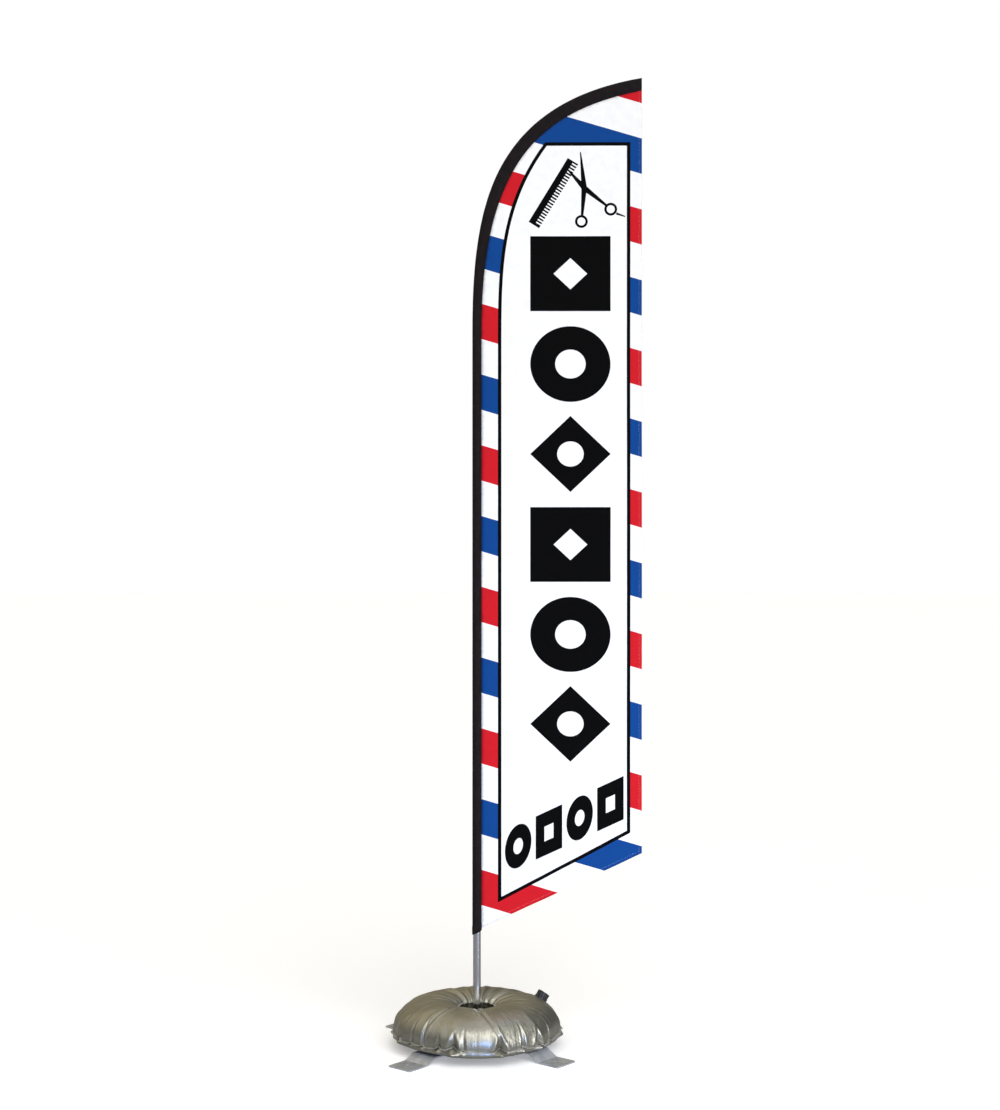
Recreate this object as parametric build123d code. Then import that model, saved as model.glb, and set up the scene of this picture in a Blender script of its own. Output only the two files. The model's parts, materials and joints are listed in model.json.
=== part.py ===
from build123d import *
import os
from math import cos, radians, sin, sqrt, tan

# Feather flag on a swivel spindle. Two flat steel bars cross on the floor and carry
# a bearing hub. The pole slides onto the hub's spindle, and a water ring round the
# hub weighs the base down.
# Origin: on the floor, on the spindle's axis. +X: the way the flag flies. +Z: up.
# Millimetres throughout.

# Fits shared by every piece
running_gap = 0.05        # radial clearance of a running or sliding fit
face_gap = 0.05           # play between flat faces that turn on each other
rest_gap = 0.4            # clearance under a soft piece that rests on the bars

# Crossbars
leg_radius = 325.0
bar_width = 80.0
bar_thickness = 4.0
bar_clear_height = 15.0   # underside of the lower bar above the floor
pad_length = 67.0
slope_run = 35.0
bar_bend_radius = 9.0
pad_corner_radius = 4.0
pad_hole_radius = 5.0
pad_hole_inset = 35.0     # from the end of the leg
lower_bar_angle = 50.0
bars_angle = 90.0         # between the two bars when the base stands open

# Pivot of the two bars
bolt_radius = 8.0
bolt_head_radius = bolt_radius + 5
bolt_head_height = 7.0
bolt_socket_width = 10.0
bolt_end = 1.2            # thread past the nut
bush_radius = bolt_radius + 2.5
washer_radius = bush_radius + 11.5
washer_thickness = 1.0
plain_washer_radius = bolt_radius + 7
plain_washer_thickness = 1.5
spring_washer_radius = bolt_radius + 4.5
spring_washer_thickness = 2.5
spring_washer_slit = 2.0
nut_width = 3 * bolt_radius
nut_height = 7.0

# Bearings
bearing_bore_radius = 8.5
bearing_outer_radius = 17.5
bearing_width = 10.0
race_thickness = 2.5
race_gap = bearing_outer_radius - bearing_bore_radius - 2 * race_thickness
ball_radius = race_gap / 2 + 0.4    # each race's groove takes 0.4 of the ball
ball_count = 9
groove_gap = 0.06
cage_thickness = 0.4 * race_gap
cage_margin = 0.8         # cage above and below its balls
bearing_spacing = 10.0    # between the two bearings

# Hub
housing_wall = 6.0
housing_floor = 8.0
housing_foot_width = 7.0
housing_foot_height = 6.0
housing_rim = 4.0         # wall above the retaining ring
ledge_height = 5.0
ledge_width = 3.5
circlip_thickness = 1.2
circlip_depth = 1.0
circlip_opening = 40.0
dust_cap_thickness = 3.0
dust_cap_skirt = 7.0
dust_cap_wall = 1.6

# Spindle
spindle_length = 190.0
spindle_nose = 15.0
spindle_nose_radius = 5.5
collar_rim = 4.0          # spindle's collar beyond the pole
collar_height = 5.0
shaft_tail = 3.8          # end of the shaft past the lower bearing
o_ring_section = 1.2
o_ring_heights = (30.0, 155.0)

# Pole
pole_radius = 11.0
pole_wall = 1.5
lower_pole_length = 930.0
middle_pole_length = 1010.0
pole_insert = 80.0
joint_collar_height = 10.0
ferrule_stem = 70.0
ferrule_head = 12.0
rod_base_radius = 6.0
rod_insert = 62.0
rod_straight = 97.65      # straight rod between the middle pole and the bend
tip_cap_length = 14.0
tip_cap_cover = 9.0       # how far the cap covers the rod

# Bend of the pole and flag: one cubic curve from the straight pole to the tip
tip_reach = 472.0
tip_rise = 707.0
start_handle = 418.0
tip_handle = 373.0
tip_slope = 10.3
rod_end_share = 0.965     # share of the curve at which the rod ends

# Sleeve
sleeve_clearance = 1.2
sleeve_wall = 0.8
sleeve_tip_flatness = 0.42
sleeve_widening = 0.7     # width gained for the thickness lost as the tube flattens
bend_sections = 25
pocket_length = 34.0
pocket_wall = 0.7

# Flag panel
flag_bottom = 332.5       # lower edge where it meets the sleeve
bottom_slope = 25.0
sleeve_past_flag = 12.5   # sleeve's lower end below the flag's
panel_thickness = 0.5
seam_overlap = 0.4        # panel sewn into the sleeve's wall

# Water ring
ring_radius = 250.0       # over the weld flange
rim_weld_width = 9.0
rim_weld_height = 40.0
weld_thickness = 1.4
seam_overlap_vinyl = 1.0
hole_radius = 50.0
hole_weld_width = 6.0
hole_weld_height = 107.0
ring_height = 130.0
ridge_radius = 125.0
foot_inset = 45.0         # from the ring's rim to the edge of its flat foot
ring_foot_inner = 88.0

# Valve and cap
valve_angle = 28.0
valve_share = 0.5         # place along the outer shoulder's curve
valve_flange_thickness = 2.0
valve_neck_radius = 12.0
valve_flange_radius = valve_neck_radius + 9
valve_bore_radius = valve_neck_radius - 3.5
valve_neck_height = 15.0
collar_nut_radius = valve_neck_radius + 4
collar_nut_height = 6.5
collar_nut_lobes = 8
collar_nut_lobe_radius = 3.4
cap_travel = 8.0
cap_wall = 2.6
cap_roof = 4.0
cap_lobes = 6
cap_lobe_radius = 3.6
gasket_thickness = 2.0
gasket_clearance = 0.3

# Sizes that follow from the ones above
half_bar = bar_width / 2
lower_washer_z = bar_clear_height + bar_thickness
upper_bar_z = lower_washer_z + washer_thickness + face_gap
upper_washer_z = upper_bar_z + bar_thickness + face_gap
housing_z = upper_washer_z + washer_thickness
cavity_z = housing_z + housing_floor
bearing_z = cavity_z + ledge_height
upper_bearing_z = bearing_z + bearing_width + bearing_spacing
bearings_top_z = upper_bearing_z + bearing_width
housing_top_z = bearings_top_z + circlip_thickness + housing_rim
housing_radius = bearing_outer_radius + housing_wall
inner_race_radius = bearing_bore_radius + race_thickness
outer_race_inner_radius = bearing_outer_radius - race_thickness
ball_circle = (bearing_bore_radius + bearing_outer_radius) / 2
shoulder_radius = inner_race_radius
dust_cap_bore = shoulder_radius + 0.5
collar_z = housing_top_z + dust_cap_thickness + 1.0
pole_z = collar_z + collar_height + face_gap
pole_bore = pole_radius - pole_wall
spindle_radius = pole_bore - running_gap
insert_radius = pole_bore - running_gap
insert_bore = insert_radius - pole_wall
joint_z = pole_z + lower_pole_length
middle_pole_z = joint_z - pole_insert
middle_pole_top = middle_pole_z + middle_pole_length
collar_radius = pole_radius + collar_rim
bend_start = middle_pole_top + rod_straight
sleeve_inner = pole_radius + sleeve_clearance
sleeve_radius = sleeve_inner + sleeve_wall
sleeve_bottom = flag_bottom - sleeve_past_flag
pocket_half_width = sleeve_radius + 1
pocket_half_thickness = sleeve_radius * sleeve_tip_flatness - sleeve_wall - 0.26
tip_cap_radius = pocket_half_thickness - pocket_wall - 0.3
rod_tip_radius = tip_cap_radius - 0.9
ring_foot_outer = ring_radius - foot_inset
ring_base_z = upper_washer_z + rest_gap
cap_bore = valve_neck_radius + running_gap
cap_radius = cap_bore + cap_wall


def disc(radius, low, high):
    """Solid round piece on the spindle's axis, between two heights."""
    return Pos(0, 0, low) * Cylinder(radius, high - low, align=(Align.CENTER, Align.CENTER, Align.MIN))


def ring(outer, inner, low, high):
    """Round piece with a bore, on the spindle's axis."""
    return disc(outer, low, high) - disc(inner, low - 1, high + 1)


def save(name, shape):
    export_step(shape, f"parts/{name}.step")


# ---------------------------------------------------------------- crossbars

def crossbar(angle, height):
    """Flat strip, raised at the middle, stepping down to a holed pad at each end."""
    pad_start = leg_radius - pad_length
    slope_start = pad_start - slope_run
    path = FilletPolyline(
        (-leg_radius, 0), (-pad_start, 0), (-slope_start, height),
        (slope_start, height), (pad_start, 0), (leg_radius, 0),
        radius=bar_bend_radius,
    )
    section = make_face(offset(path, amount=bar_thickness, side=Side.LEFT, closed=True))
    strip = extrude(Plane.XZ * section, amount=half_bar, both=True)
    ends = strip.edges().filter_by(Axis.Z).filter_by(lambda edge: abs(edge.center().X) > pad_start)
    strip = fillet(ends, pad_corner_radius)
    for side in (-1, 1):
        hole = Pos(side * (leg_radius - pad_hole_inset), 0, 0) * disc(pad_hole_radius, -1, bar_thickness + 1)
        strip = strip - hole
    return Rot(0, 0, angle) * strip


def lower_crossbar():
    return crossbar(lower_bar_angle, bar_clear_height) - disc(bolt_radius, 0, upper_bar_z)


def upper_crossbar():
    return crossbar(lower_bar_angle - bars_angle, upper_bar_z) - disc(bush_radius + running_gap, 0, housing_z)


# -------------------------------------------------------------------- pivot

def pivot_bush():
    return ring(bush_radius, bolt_radius, lower_washer_z, housing_z)


def friction_washer(low):
    return ring(washer_radius, bush_radius, low, low + washer_thickness)


def plain_washer():
    return ring(plain_washer_radius, bolt_radius, bar_clear_height - plain_washer_thickness, bar_clear_height)


def spring_washer():
    """Split lock washer, its two ends a slit apart."""
    top = bar_clear_height - plain_washer_thickness
    low = top - spring_washer_thickness
    slit = Pos(spring_washer_radius, 0, (low + top) / 2) * Rot(25, 0, 0) * Box(
        2 * spring_washer_radius, spring_washer_slit, 4 * spring_washer_thickness)
    return ring(spring_washer_radius, bolt_radius, low, top) - slit


def lock_nut():
    top = bar_clear_height - plain_washer_thickness - spring_washer_thickness
    low = top - nut_height
    blank = Pos(0, 0, low) * extrude(RegularPolygon(nut_width / 2, 6, major_radius=False), nut_height)
    corner_radius = nut_width / sqrt(3)
    bevel_height = nut_height - (corner_radius - nut_width / 2) / 2
    bevel = Pos(0, 0, low + bevel_height / 2) * Cylinder(corner_radius + 1, bevel_height)
    nose = Pos(0, 0, low + bevel_height) * Cone(
        corner_radius, corner_radius - 2 * (nut_height - bevel_height), nut_height - bevel_height,
        align=(Align.CENTER, Align.CENTER, Align.MIN))
    return (blank & (bevel + nose)) - disc(bolt_radius, low - 1, top + 1)


def pivot_bolt():
    """Countersunk bolt: its head lies in the hub's floor, its thread holds the nut."""
    low = bar_clear_height - plain_washer_thickness - spring_washer_thickness - nut_height - bolt_end
    cone_height = bolt_head_radius - bolt_radius
    cone = Pos(0, 0, cavity_z - bolt_head_height) * Cone(
        bolt_radius, bolt_head_radius, cone_height, align=(Align.CENTER, Align.CENTER, Align.MIN))
    head = disc(bolt_head_radius, cavity_z - bolt_head_height + cone_height, cavity_z)
    socket = Pos(0, 0, cavity_z) * extrude(
        RegularPolygon(bolt_socket_width / 2, 6, major_radius=False), -bolt_head_height / 2)
    shank = chamfer(disc(bolt_radius, low, cavity_z - 1).edges().group_by(Axis.Z)[0], 0.8)
    return shank + cone + head - socket


# ---------------------------------------------------------------------- hub

def bearing_housing():
    """Cup on a wide foot: floor with the bolt's countersink, ledge, bearing bore, groove."""
    body = disc(housing_radius, housing_z, housing_top_z)
    body = chamfer(body.edges().group_by(Axis.Z)[-1], 1.2)
    foot = disc(housing_radius + housing_foot_width, housing_z, housing_z + housing_foot_height)
    foot = fillet(foot.edges().group_by(Axis.Z)[-1], 2)
    body = body + foot
    cone_height = bolt_head_radius - bolt_radius
    body = body - disc(bolt_radius, housing_z - 1, cavity_z)
    body = body - Pos(0, 0, cavity_z - bolt_head_height) * Cone(
        bolt_radius, bolt_head_radius, cone_height, align=(Align.CENTER, Align.CENTER, Align.MIN))
    body = body - disc(bolt_head_radius, cavity_z - bolt_head_height + cone_height, cavity_z)
    body = body - disc(bearing_outer_radius - ledge_width, cavity_z, bearing_z)
    body = body - disc(bearing_outer_radius, bearing_z, housing_top_z + 1)
    groove = disc(bearing_outer_radius + circlip_depth, bearings_top_z, bearings_top_z + circlip_thickness)
    return body - groove


def race_groove(low):
    """Round raceway that the balls of the bearing at this height run in."""
    middle = Pos(0, 0, low + bearing_width / 2)
    return middle * Torus(ball_circle, ball_radius + groove_gap)


def both_bearings(make):
    """The same piece at the lower and at the upper bearing."""
    return Compound([make(low).solid() for low in (bearing_z, upper_bearing_z)])


def outer_race(low):
    race = ring(bearing_outer_radius, outer_race_inner_radius, low, low + bearing_width)
    return race - race_groove(low)


def inner_race(low):
    race = ring(inner_race_radius, bearing_bore_radius, low, low + bearing_width)
    return race - race_groove(low)


def outer_spacer():
    low = bearing_z + bearing_width
    return ring(bearing_outer_radius, outer_race_inner_radius + 0.5, low, low + bearing_spacing)


def inner_spacer():
    low = bearing_z + bearing_width
    return ring(inner_race_radius - 0.5, bearing_bore_radius, low, low + bearing_spacing)


def bearing_balls():
    balls = []
    for low in (bearing_z, upper_bearing_z):
        for place in PolarLocations(ball_circle, ball_count):
            balls.append((Pos(0, 0, low + bearing_width / 2) * place * Sphere(ball_radius)).solid())
    return Compound(balls)


def ball_cage(low):
    """Thin ring between the races, with a round window for each ball."""
    middle = low + bearing_width / 2
    half_wall = cage_thickness / 2
    half_height = ball_radius + cage_margin
    cage = ring(ball_circle + half_wall, ball_circle - half_wall, middle - half_height, middle + half_height)
    for place in PolarLocations(ball_circle, ball_count):
        window = Rot(0, 90, 0) * Cylinder(ball_radius + groove_gap, 2 * cage_thickness)
        cage = cage - Pos(0, 0, middle) * place * window
    return cage


def circlip(outer, inner, low):
    """Retaining ring with a gap, so that it can be squeezed or spread."""
    reach = 2 * outer
    half_opening = radians(circlip_opening / 2)
    wedge = make_face(Polyline(
        (0, 0), (reach * cos(half_opening), -reach * sin(half_opening)),
        (reach * cos(half_opening), reach * sin(half_opening)), close=True))
    gap = Pos(0, 0, low - 1) * extrude(wedge, circlip_thickness + 2)
    return ring(outer, inner, low, low + circlip_thickness) - gap


def housing_circlip():
    return circlip(bearing_outer_radius + circlip_depth, bearing_outer_radius - 2 * circlip_depth, bearings_top_z)


def shaft_circlip():
    low = bearing_z - circlip_thickness
    return circlip(bearing_bore_radius + 2 * circlip_depth, bearing_bore_radius - circlip_depth, low)


def dust_cap():
    """Lid over the hub with a skirt round its rim and a bore for the shaft."""
    outer = housing_radius + dust_cap_wall
    lid = disc(outer, housing_top_z - dust_cap_skirt, housing_top_z + dust_cap_thickness)
    lid = fillet(lid.edges().group_by(Axis.Z)[-1], 1.5)
    lid = lid - disc(housing_radius, housing_top_z - dust_cap_skirt - 1, housing_top_z)
    return lid - disc(dust_cap_bore, housing_top_z - 1, housing_top_z + dust_cap_thickness + 1)


# ------------------------------------------------------------------ spindle

def spindle_shaft():
    """Shaft through both bearings, a collar that the pole stands on, and the long spindle."""
    shaft = disc(bearing_bore_radius, bearing_z - shaft_tail, bearings_top_z)
    shaft = shaft - ring(bearing_bore_radius + 1, bearing_bore_radius - circlip_depth,
                         bearing_z - circlip_thickness, bearing_z)
    shaft = shaft + disc(shoulder_radius, bearings_top_z, collar_z)
    collar = disc(collar_radius, collar_z, collar_z + collar_height)
    shaft = shaft + chamfer(collar.edges(), 0.8)
    top = collar_z + collar_height + spindle_length - spindle_nose
    shaft = shaft + disc(spindle_radius, collar_z, top)
    nose = Pos(0, 0, top) * Cone(spindle_radius, spindle_nose_radius, spindle_nose,
                                 align=(Align.CENTER, Align.CENTER, Align.MIN))
    shaft = shaft + nose
    for height in o_ring_heights:
        shaft = shaft - o_ring_groove(collar_z + collar_height + height)
    return shaft


def o_ring_circle():
    """Radius of an O-ring's centre line, so that the ring just meets the pole's bore."""
    return pole_bore - running_gap / 2 - o_ring_section


def o_ring_groove(height):
    half_width = o_ring_section + 0.2
    bottom = o_ring_circle() - o_ring_section
    return ring(spindle_radius + 1, bottom, height - half_width, height + half_width)


def spindle_o_rings():
    rings = []
    for height in o_ring_heights:
        place = Pos(0, 0, collar_z + collar_height + height)
        rings.append((place * Torus(o_ring_circle(), o_ring_section)).solid())
    return Compound(rings)


# --------------------------------------------------------------------- pole

def bend_handles():
    """The four control points of the bend, in the flag's plane."""
    slope = radians(tip_slope)
    tip = Vector(tip_reach, 0, bend_start + tip_rise)
    return (
        Vector(0, 0, bend_start),
        Vector(0, 0, bend_start + start_handle),
        tip - Vector(cos(slope), 0, sin(slope)) * tip_handle,
        tip,
    )


def bend_point(share):
    """Point of the bend's centre line; shares past 1 run on beyond the tip."""
    a, b, c, d = bend_handles()
    rest = 1 - share
    return a * rest**3 + b * (3 * rest**2 * share) + c * (3 * rest * share**2) + d * share**3


def bend_direction(share):
    a, b, c, d = bend_handles()
    rest = 1 - share
    return ((b - a) * rest**2 + (c - b) * (2 * rest * share) + (d - c) * share**2).normalized()


def bend_plane(share):
    """Plane across the bend: its x axis points to the inside of the curve."""
    along = bend_direction(share)
    inward = Vector(along.Z, 0, -along.X)
    return Plane(origin=bend_point(share), x_dir=inward, z_dir=along)


def lower_pole():
    pole = ring(pole_radius, pole_bore, pole_z, joint_z)
    return chamfer(pole.edges().group_by(Axis.Z)[0], 0.3)


def middle_pole():
    return ring(insert_radius, insert_bore, middle_pole_z, middle_pole_top)


def joint_collar():
    collar = disc(pole_radius, joint_z, joint_z + joint_collar_height)
    collar = chamfer(collar.edges().group_by(Axis.Z)[-1], 1)
    return collar - disc(insert_radius, joint_z - 1, joint_z + joint_collar_height + 1)


def rod_ferrule():
    """Plug that seats the thin rod in the top of the middle pole."""
    stem = disc(insert_bore, middle_pole_top - ferrule_stem, middle_pole_top)
    head = disc(insert_radius, middle_pole_top, middle_pole_top + ferrule_head)
    head = chamfer(head.edges().group_by(Axis.Z)[-1], 1.5)
    bore = disc(rod_base_radius, rod_foot_z(), middle_pole_top + ferrule_head + 1)
    return stem + head - bore


def rod_foot_z():
    return middle_pole_top - rod_insert


def tip_rod():
    """Glass-fibre rod: straight in the ferrule, then tapering along the bend."""
    straight = disc(rod_base_radius, rod_foot_z(), bend_start)
    sections = []
    for step in range(bend_sections):
        share = rod_end_share * step / (bend_sections - 1)
        radius = rod_base_radius + (rod_tip_radius - rod_base_radius) * step / (bend_sections - 1)
        sections.append(bend_plane(share) * Circle(radius))
    return straight + loft(sections)


def tip_cap():
    """Rounded cap on the rod's thin end."""
    end = bend_plane(rod_end_share)
    cap = Pos(0, 0, -tip_cap_cover) * Cylinder(
        tip_cap_radius, tip_cap_length, align=(Align.CENTER, Align.CENTER, Align.MIN))
    cap = fillet(cap.edges().group_by(Axis.Z)[-1], tip_cap_radius - 0.4)
    bore = Pos(0, 0, -tip_cap_cover - 1) * Cylinder(
        rod_tip_radius + 0.25, tip_cap_cover + 1, align=(Align.CENTER, Align.CENTER, Align.MIN))
    return end.location * (cap - bore)


# --------------------------------------------------------------------- flag

def sleeve_size(share):
    """Half width and half thickness of the sleeve's section along the bend."""
    settle = min(1, 2 * share)
    ease = settle * settle * (3 - 2 * settle)
    flatness = 1 - (1 - sleeve_tip_flatness) * ease
    return sleeve_radius * (1 + sleeve_widening * (1 - flatness)), sleeve_radius * flatness


def sleeve_bend(inset):
    """The bent part of the sleeve, as a solid that is inset from its outer skin."""
    past_tip = 1.03
    sections = []
    for step in range(bend_sections):
        share = past_tip * step / (bend_sections - 1)
        half_width, half_thickness = sleeve_size(share)
        sections.append(bend_plane(share) * Ellipse(half_width - inset, half_thickness - inset))
    return loft(sections)


def past_free_edge():
    """Everything beyond the flag's straight free edge."""
    height = 2 * (bend_start + tip_rise)
    return Pos(tip_reach, 0, 0) * Box(200, 200, height, align=(Align.MIN, Align.CENTER, Align.MIN))


def below_cut(level):
    """Everything under the flag's sloping lower edge, which meets the pole at this height."""
    wedge = Pos(0, 0, level) * Rot(0, -bottom_slope, 0)
    return wedge * Box(4 * sleeve_radius, 4 * sleeve_radius, 60, align=(Align.CENTER, Align.CENTER, Align.MAX))


def pole_sleeve():
    """Fabric tube: round on the pole, flatter where the rod is thin."""
    low = sleeve_bottom - 20
    outer = disc(sleeve_radius, low, bend_start) + sleeve_bend(0)
    inner = disc(sleeve_inner, low - 1, bend_start) + sleeve_bend(sleeve_wall)
    return outer - inner - past_free_edge() - below_cut(sleeve_bottom)


def tip_pocket():
    """Reinforced pocket sewn inside the sleeve's end, which the rod's tip pushes into."""
    frame = bend_plane(rod_end_share).location
    start = tip_cap_length - tip_cap_cover - pocket_length
    floor = start + pocket_length + pocket_wall
    skin = Pos(0, 0, start) * extrude(Ellipse(pocket_half_width, pocket_half_thickness), floor - start)
    space = Pos(0, 0, start - 1) * extrude(
        Ellipse(pocket_half_width - pocket_wall, pocket_half_thickness - pocket_wall),
        pocket_length + 1)
    return frame * (skin - space)


def flag_panel():
    """One sheet of flag cloth: curved along the sleeve, straight free edge, sloping lower edge."""
    edge = []
    for step in range(bend_sections):
        share = step / (bend_sections - 1)
        half_width = sleeve_size(share)[0] - seam_overlap
        point = bend_plane(share).origin + bend_plane(share).x_dir * half_width
        edge.append((point.X, point.Z))
    start_x = edge[0][0]
    end_x = edge[-1][0]
    corner = (end_x, flag_bottom + (end_x - start_x) * tan(radians(bottom_slope)))
    tip_direction = (cos(radians(tip_slope)), sin(radians(tip_slope)))
    outline = [
        Line((start_x, flag_bottom), edge[0]),
        Spline(*edge, tangents=((0, 1), tip_direction)),
        Line(edge[-1], corner),
        Line(corner, (start_x, flag_bottom)),
    ]
    panel = extrude(Plane.XZ * make_face(outline), amount=panel_thickness / 2, both=True)
    return panel - past_free_edge()


# --------------------------------------------------------------- water ring

def shoulder_curve():
    """Control points of the ring's outer shoulder, from the rim weld up to the ridge."""
    rim_radius = ring_radius - rim_weld_width
    bulge = ring_height - rim_weld_height
    return (
        (rim_radius, rim_weld_height),
        (rim_radius + 4, rim_weld_height + 0.6 * bulge),
        (ridge_radius + 0.55 * (rim_radius - ridge_radius), ring_height),
        (ridge_radius, ring_height),
    )


def water_bag():
    """The filled ring: shoulder, ridge, dip to the hole's weld, wall of the hole, flat foot."""
    inner_radius = hole_radius + hole_weld_width
    rim_radius = ring_radius - rim_weld_width
    fall = ring_height - hole_weld_height
    outline = [
        Bezier(*shoulder_curve()),
        Bezier((ridge_radius, ring_height), (ridge_radius - 30, ring_height),
               (inner_radius + 6, hole_weld_height + 0.6 * fall), (inner_radius, hole_weld_height)),
        Bezier((inner_radius, hole_weld_height), (inner_radius + 4, hole_weld_height * 0.7),
               (inner_radius + 4, ring_base_z), (ring_foot_inner, ring_base_z)),
        Line((ring_foot_inner, ring_base_z), (ring_foot_outer, ring_base_z)),
        Bezier((ring_foot_outer, ring_base_z), (ring_foot_outer + 22, ring_base_z),
               (rim_radius - 2, ring_base_z + 6), (rim_radius, rim_weld_height)),
    ]
    bag = revolve(Plane.XZ * make_face(outline), Axis.Z)
    seat = valve_place() * Cylinder(
        valve_flange_radius + rest_gap, 30, align=(Align.CENTER, Align.CENTER, Align.MIN))
    return bag - seat


def bag_rim_weld():
    """Flat flange round the ring, where its two sheets are welded."""
    half = weld_thickness / 2
    inner = ring_radius - rim_weld_width - seam_overlap_vinyl
    return ring(ring_radius, inner, rim_weld_height - half, rim_weld_height + half)


def bag_hole_weld():
    half = weld_thickness / 2
    outer = hole_radius + hole_weld_width + seam_overlap_vinyl
    return ring(outer, hole_radius, hole_weld_height - half, hole_weld_height + half)


# -------------------------------------------------------------------- valve

def valve_place():
    """Frame on the flat seat of the valve: its z axis points out of the shoulder."""
    a, b, c, d = shoulder_curve()
    share = valve_share
    rest = 1 - share
    weights = (rest**3, 3 * rest**2 * share, 3 * rest * share**2, share**3)
    radius = sum(weight * point[0] for weight, point in zip(weights, (a, b, c, d)))
    height = sum(weight * point[1] for weight, point in zip(weights, (a, b, c, d)))
    slopes = (-rest**2, rest**2 - 2 * rest * share, 2 * rest * share - share**2, share**2)
    along_radius = sum(slope * point[0] for slope, point in zip(slopes, (a, b, c, d)))
    along_height = sum(slope * point[1] for slope, point in zip(slopes, (a, b, c, d)))
    outward = Vector(along_height, 0, -along_radius).normalized()
    point = Vector(radius, 0, height) - outward * valve_flange_thickness
    seat = Plane(origin=point, x_dir=(0, 1, 0), z_dir=outward)
    return Location((0, 0, 0), (0, 0, valve_angle)) * seat.location


def lobed_disc(radius, lobe_radius, count, low, high):
    """Round grip with evenly spaced finger lobes."""
    outline = Circle(radius)
    for place in PolarLocations(radius, count):
        outline = outline + place * Circle(lobe_radius)
    grip = Pos(0, 0, low) * extrude(outline, high - low)
    return chamfer(grip.edges().group_by(Axis.Z)[-1], 0.7)


def valve_body():
    flange = disc(valve_flange_radius, 0, valve_flange_thickness)
    flange = fillet(flange.edges().group_by(Axis.Z)[-1], 0.8)
    neck = disc(valve_neck_radius, 0, valve_flange_thickness + valve_neck_height)
    return flange + neck - disc(valve_bore_radius, -1, valve_flange_thickness + valve_neck_height + 1)


def valve_collar_nut():
    low = valve_flange_thickness
    nut = lobed_disc(collar_nut_radius, collar_nut_lobe_radius, collar_nut_lobes, low, low + collar_nut_height)
    return nut - disc(valve_neck_radius, low - 1, low + collar_nut_height + 1)


def cap_gasket():
    low = valve_flange_thickness + valve_neck_height + face_gap
    return ring(valve_neck_radius - gasket_clearance, valve_bore_radius - 2, low, low + gasket_thickness)


def valve_cap():
    """Screw cap: skirt over the neck's end, roof over the gasket, six finger lobes."""
    neck_top = valve_flange_thickness + valve_neck_height
    roof_low = neck_top + gasket_thickness + 2 * face_gap
    skirt_low = neck_top - cap_travel
    cap = lobed_disc(cap_radius, cap_lobe_radius, cap_lobes, skirt_low, roof_low + cap_roof)
    return cap - disc(cap_bore, skirt_low - 1, roof_low)


def placed_on_valve(make):
    return valve_place() * make()


os.makedirs("parts", exist_ok=True)

save("lower_crossbar", lower_crossbar())
save("upper_crossbar", upper_crossbar())
save("pivot_bush", pivot_bush())
save("lower_friction_washer", friction_washer(lower_washer_z))
save("upper_friction_washer", friction_washer(upper_washer_z))
save("plain_washer", plain_washer())
save("spring_washer", spring_washer())
save("lock_nut", lock_nut())
save("pivot_bolt", pivot_bolt())
save("bearing_housing", bearing_housing())
save("bearing_outer_races", both_bearings(outer_race))
save("bearing_inner_races", both_bearings(inner_race))
save("outer_spacer", outer_spacer())
save("inner_spacer", inner_spacer())
save("bearing_balls", bearing_balls())
save("ball_cages", both_bearings(ball_cage))
save("housing_circlip", housing_circlip())
save("shaft_circlip", shaft_circlip())
save("dust_cap", dust_cap())
save("spindle_shaft", spindle_shaft())
save("spindle_o_rings", spindle_o_rings())
save("lower_pole", lower_pole())
save("middle_pole", middle_pole())
save("joint_collar", joint_collar())
save("rod_ferrule", rod_ferrule())
save("tip_rod", tip_rod())
save("tip_cap", tip_cap())
save("tip_pocket", tip_pocket())
save("pole_sleeve", pole_sleeve())
save("flag_panel", flag_panel())
save("water_bag", water_bag())
save("bag_rim_weld", bag_rim_weld())
save("bag_hole_weld", bag_hole_weld())
save("valve_body", placed_on_valve(valve_body))
save("valve_collar_nut", placed_on_valve(valve_collar_nut))
save("cap_gasket", placed_on_valve(cap_gasket))
save("valve_cap", placed_on_valve(valve_cap))
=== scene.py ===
import json
import math

import bpy
import numpy as np
from bpy.props import FloatProperty, FloatVectorProperty, IntProperty, PointerProperty
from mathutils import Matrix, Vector, geometry, noise
from mathutils.kdtree import KDTree


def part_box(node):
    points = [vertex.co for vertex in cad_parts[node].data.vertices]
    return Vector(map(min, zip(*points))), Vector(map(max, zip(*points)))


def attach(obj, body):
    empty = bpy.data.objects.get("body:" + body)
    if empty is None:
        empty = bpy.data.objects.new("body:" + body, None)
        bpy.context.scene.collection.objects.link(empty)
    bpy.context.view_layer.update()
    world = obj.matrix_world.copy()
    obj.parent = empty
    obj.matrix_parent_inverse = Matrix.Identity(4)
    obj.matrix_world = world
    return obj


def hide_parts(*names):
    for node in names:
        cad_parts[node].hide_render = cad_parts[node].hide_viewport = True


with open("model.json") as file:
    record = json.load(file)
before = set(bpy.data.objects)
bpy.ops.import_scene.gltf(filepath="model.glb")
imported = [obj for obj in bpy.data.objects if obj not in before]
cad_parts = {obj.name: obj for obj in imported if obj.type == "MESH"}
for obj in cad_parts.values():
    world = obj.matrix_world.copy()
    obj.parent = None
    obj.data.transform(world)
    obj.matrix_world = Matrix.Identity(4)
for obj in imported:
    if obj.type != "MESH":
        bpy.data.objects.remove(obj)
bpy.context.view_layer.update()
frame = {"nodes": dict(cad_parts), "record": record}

# Feather flag on a folding cross base with a water ring.
# +X: the way the flag flies. +Z: up. Metres throughout.

PANEL_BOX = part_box("flag_panel")
BAG_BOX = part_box("water_bag")

bl_info = {
    "name": "Feather flag",
    "version": (1, 0, 0),
    "blender": (4, 5, 0),
    "location": "View3D > Sidebar > Feather flag",
    "description": "Dresses a feather flag, its sleeve, its water ring and its cross base",
    "category": "Object",
}

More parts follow.
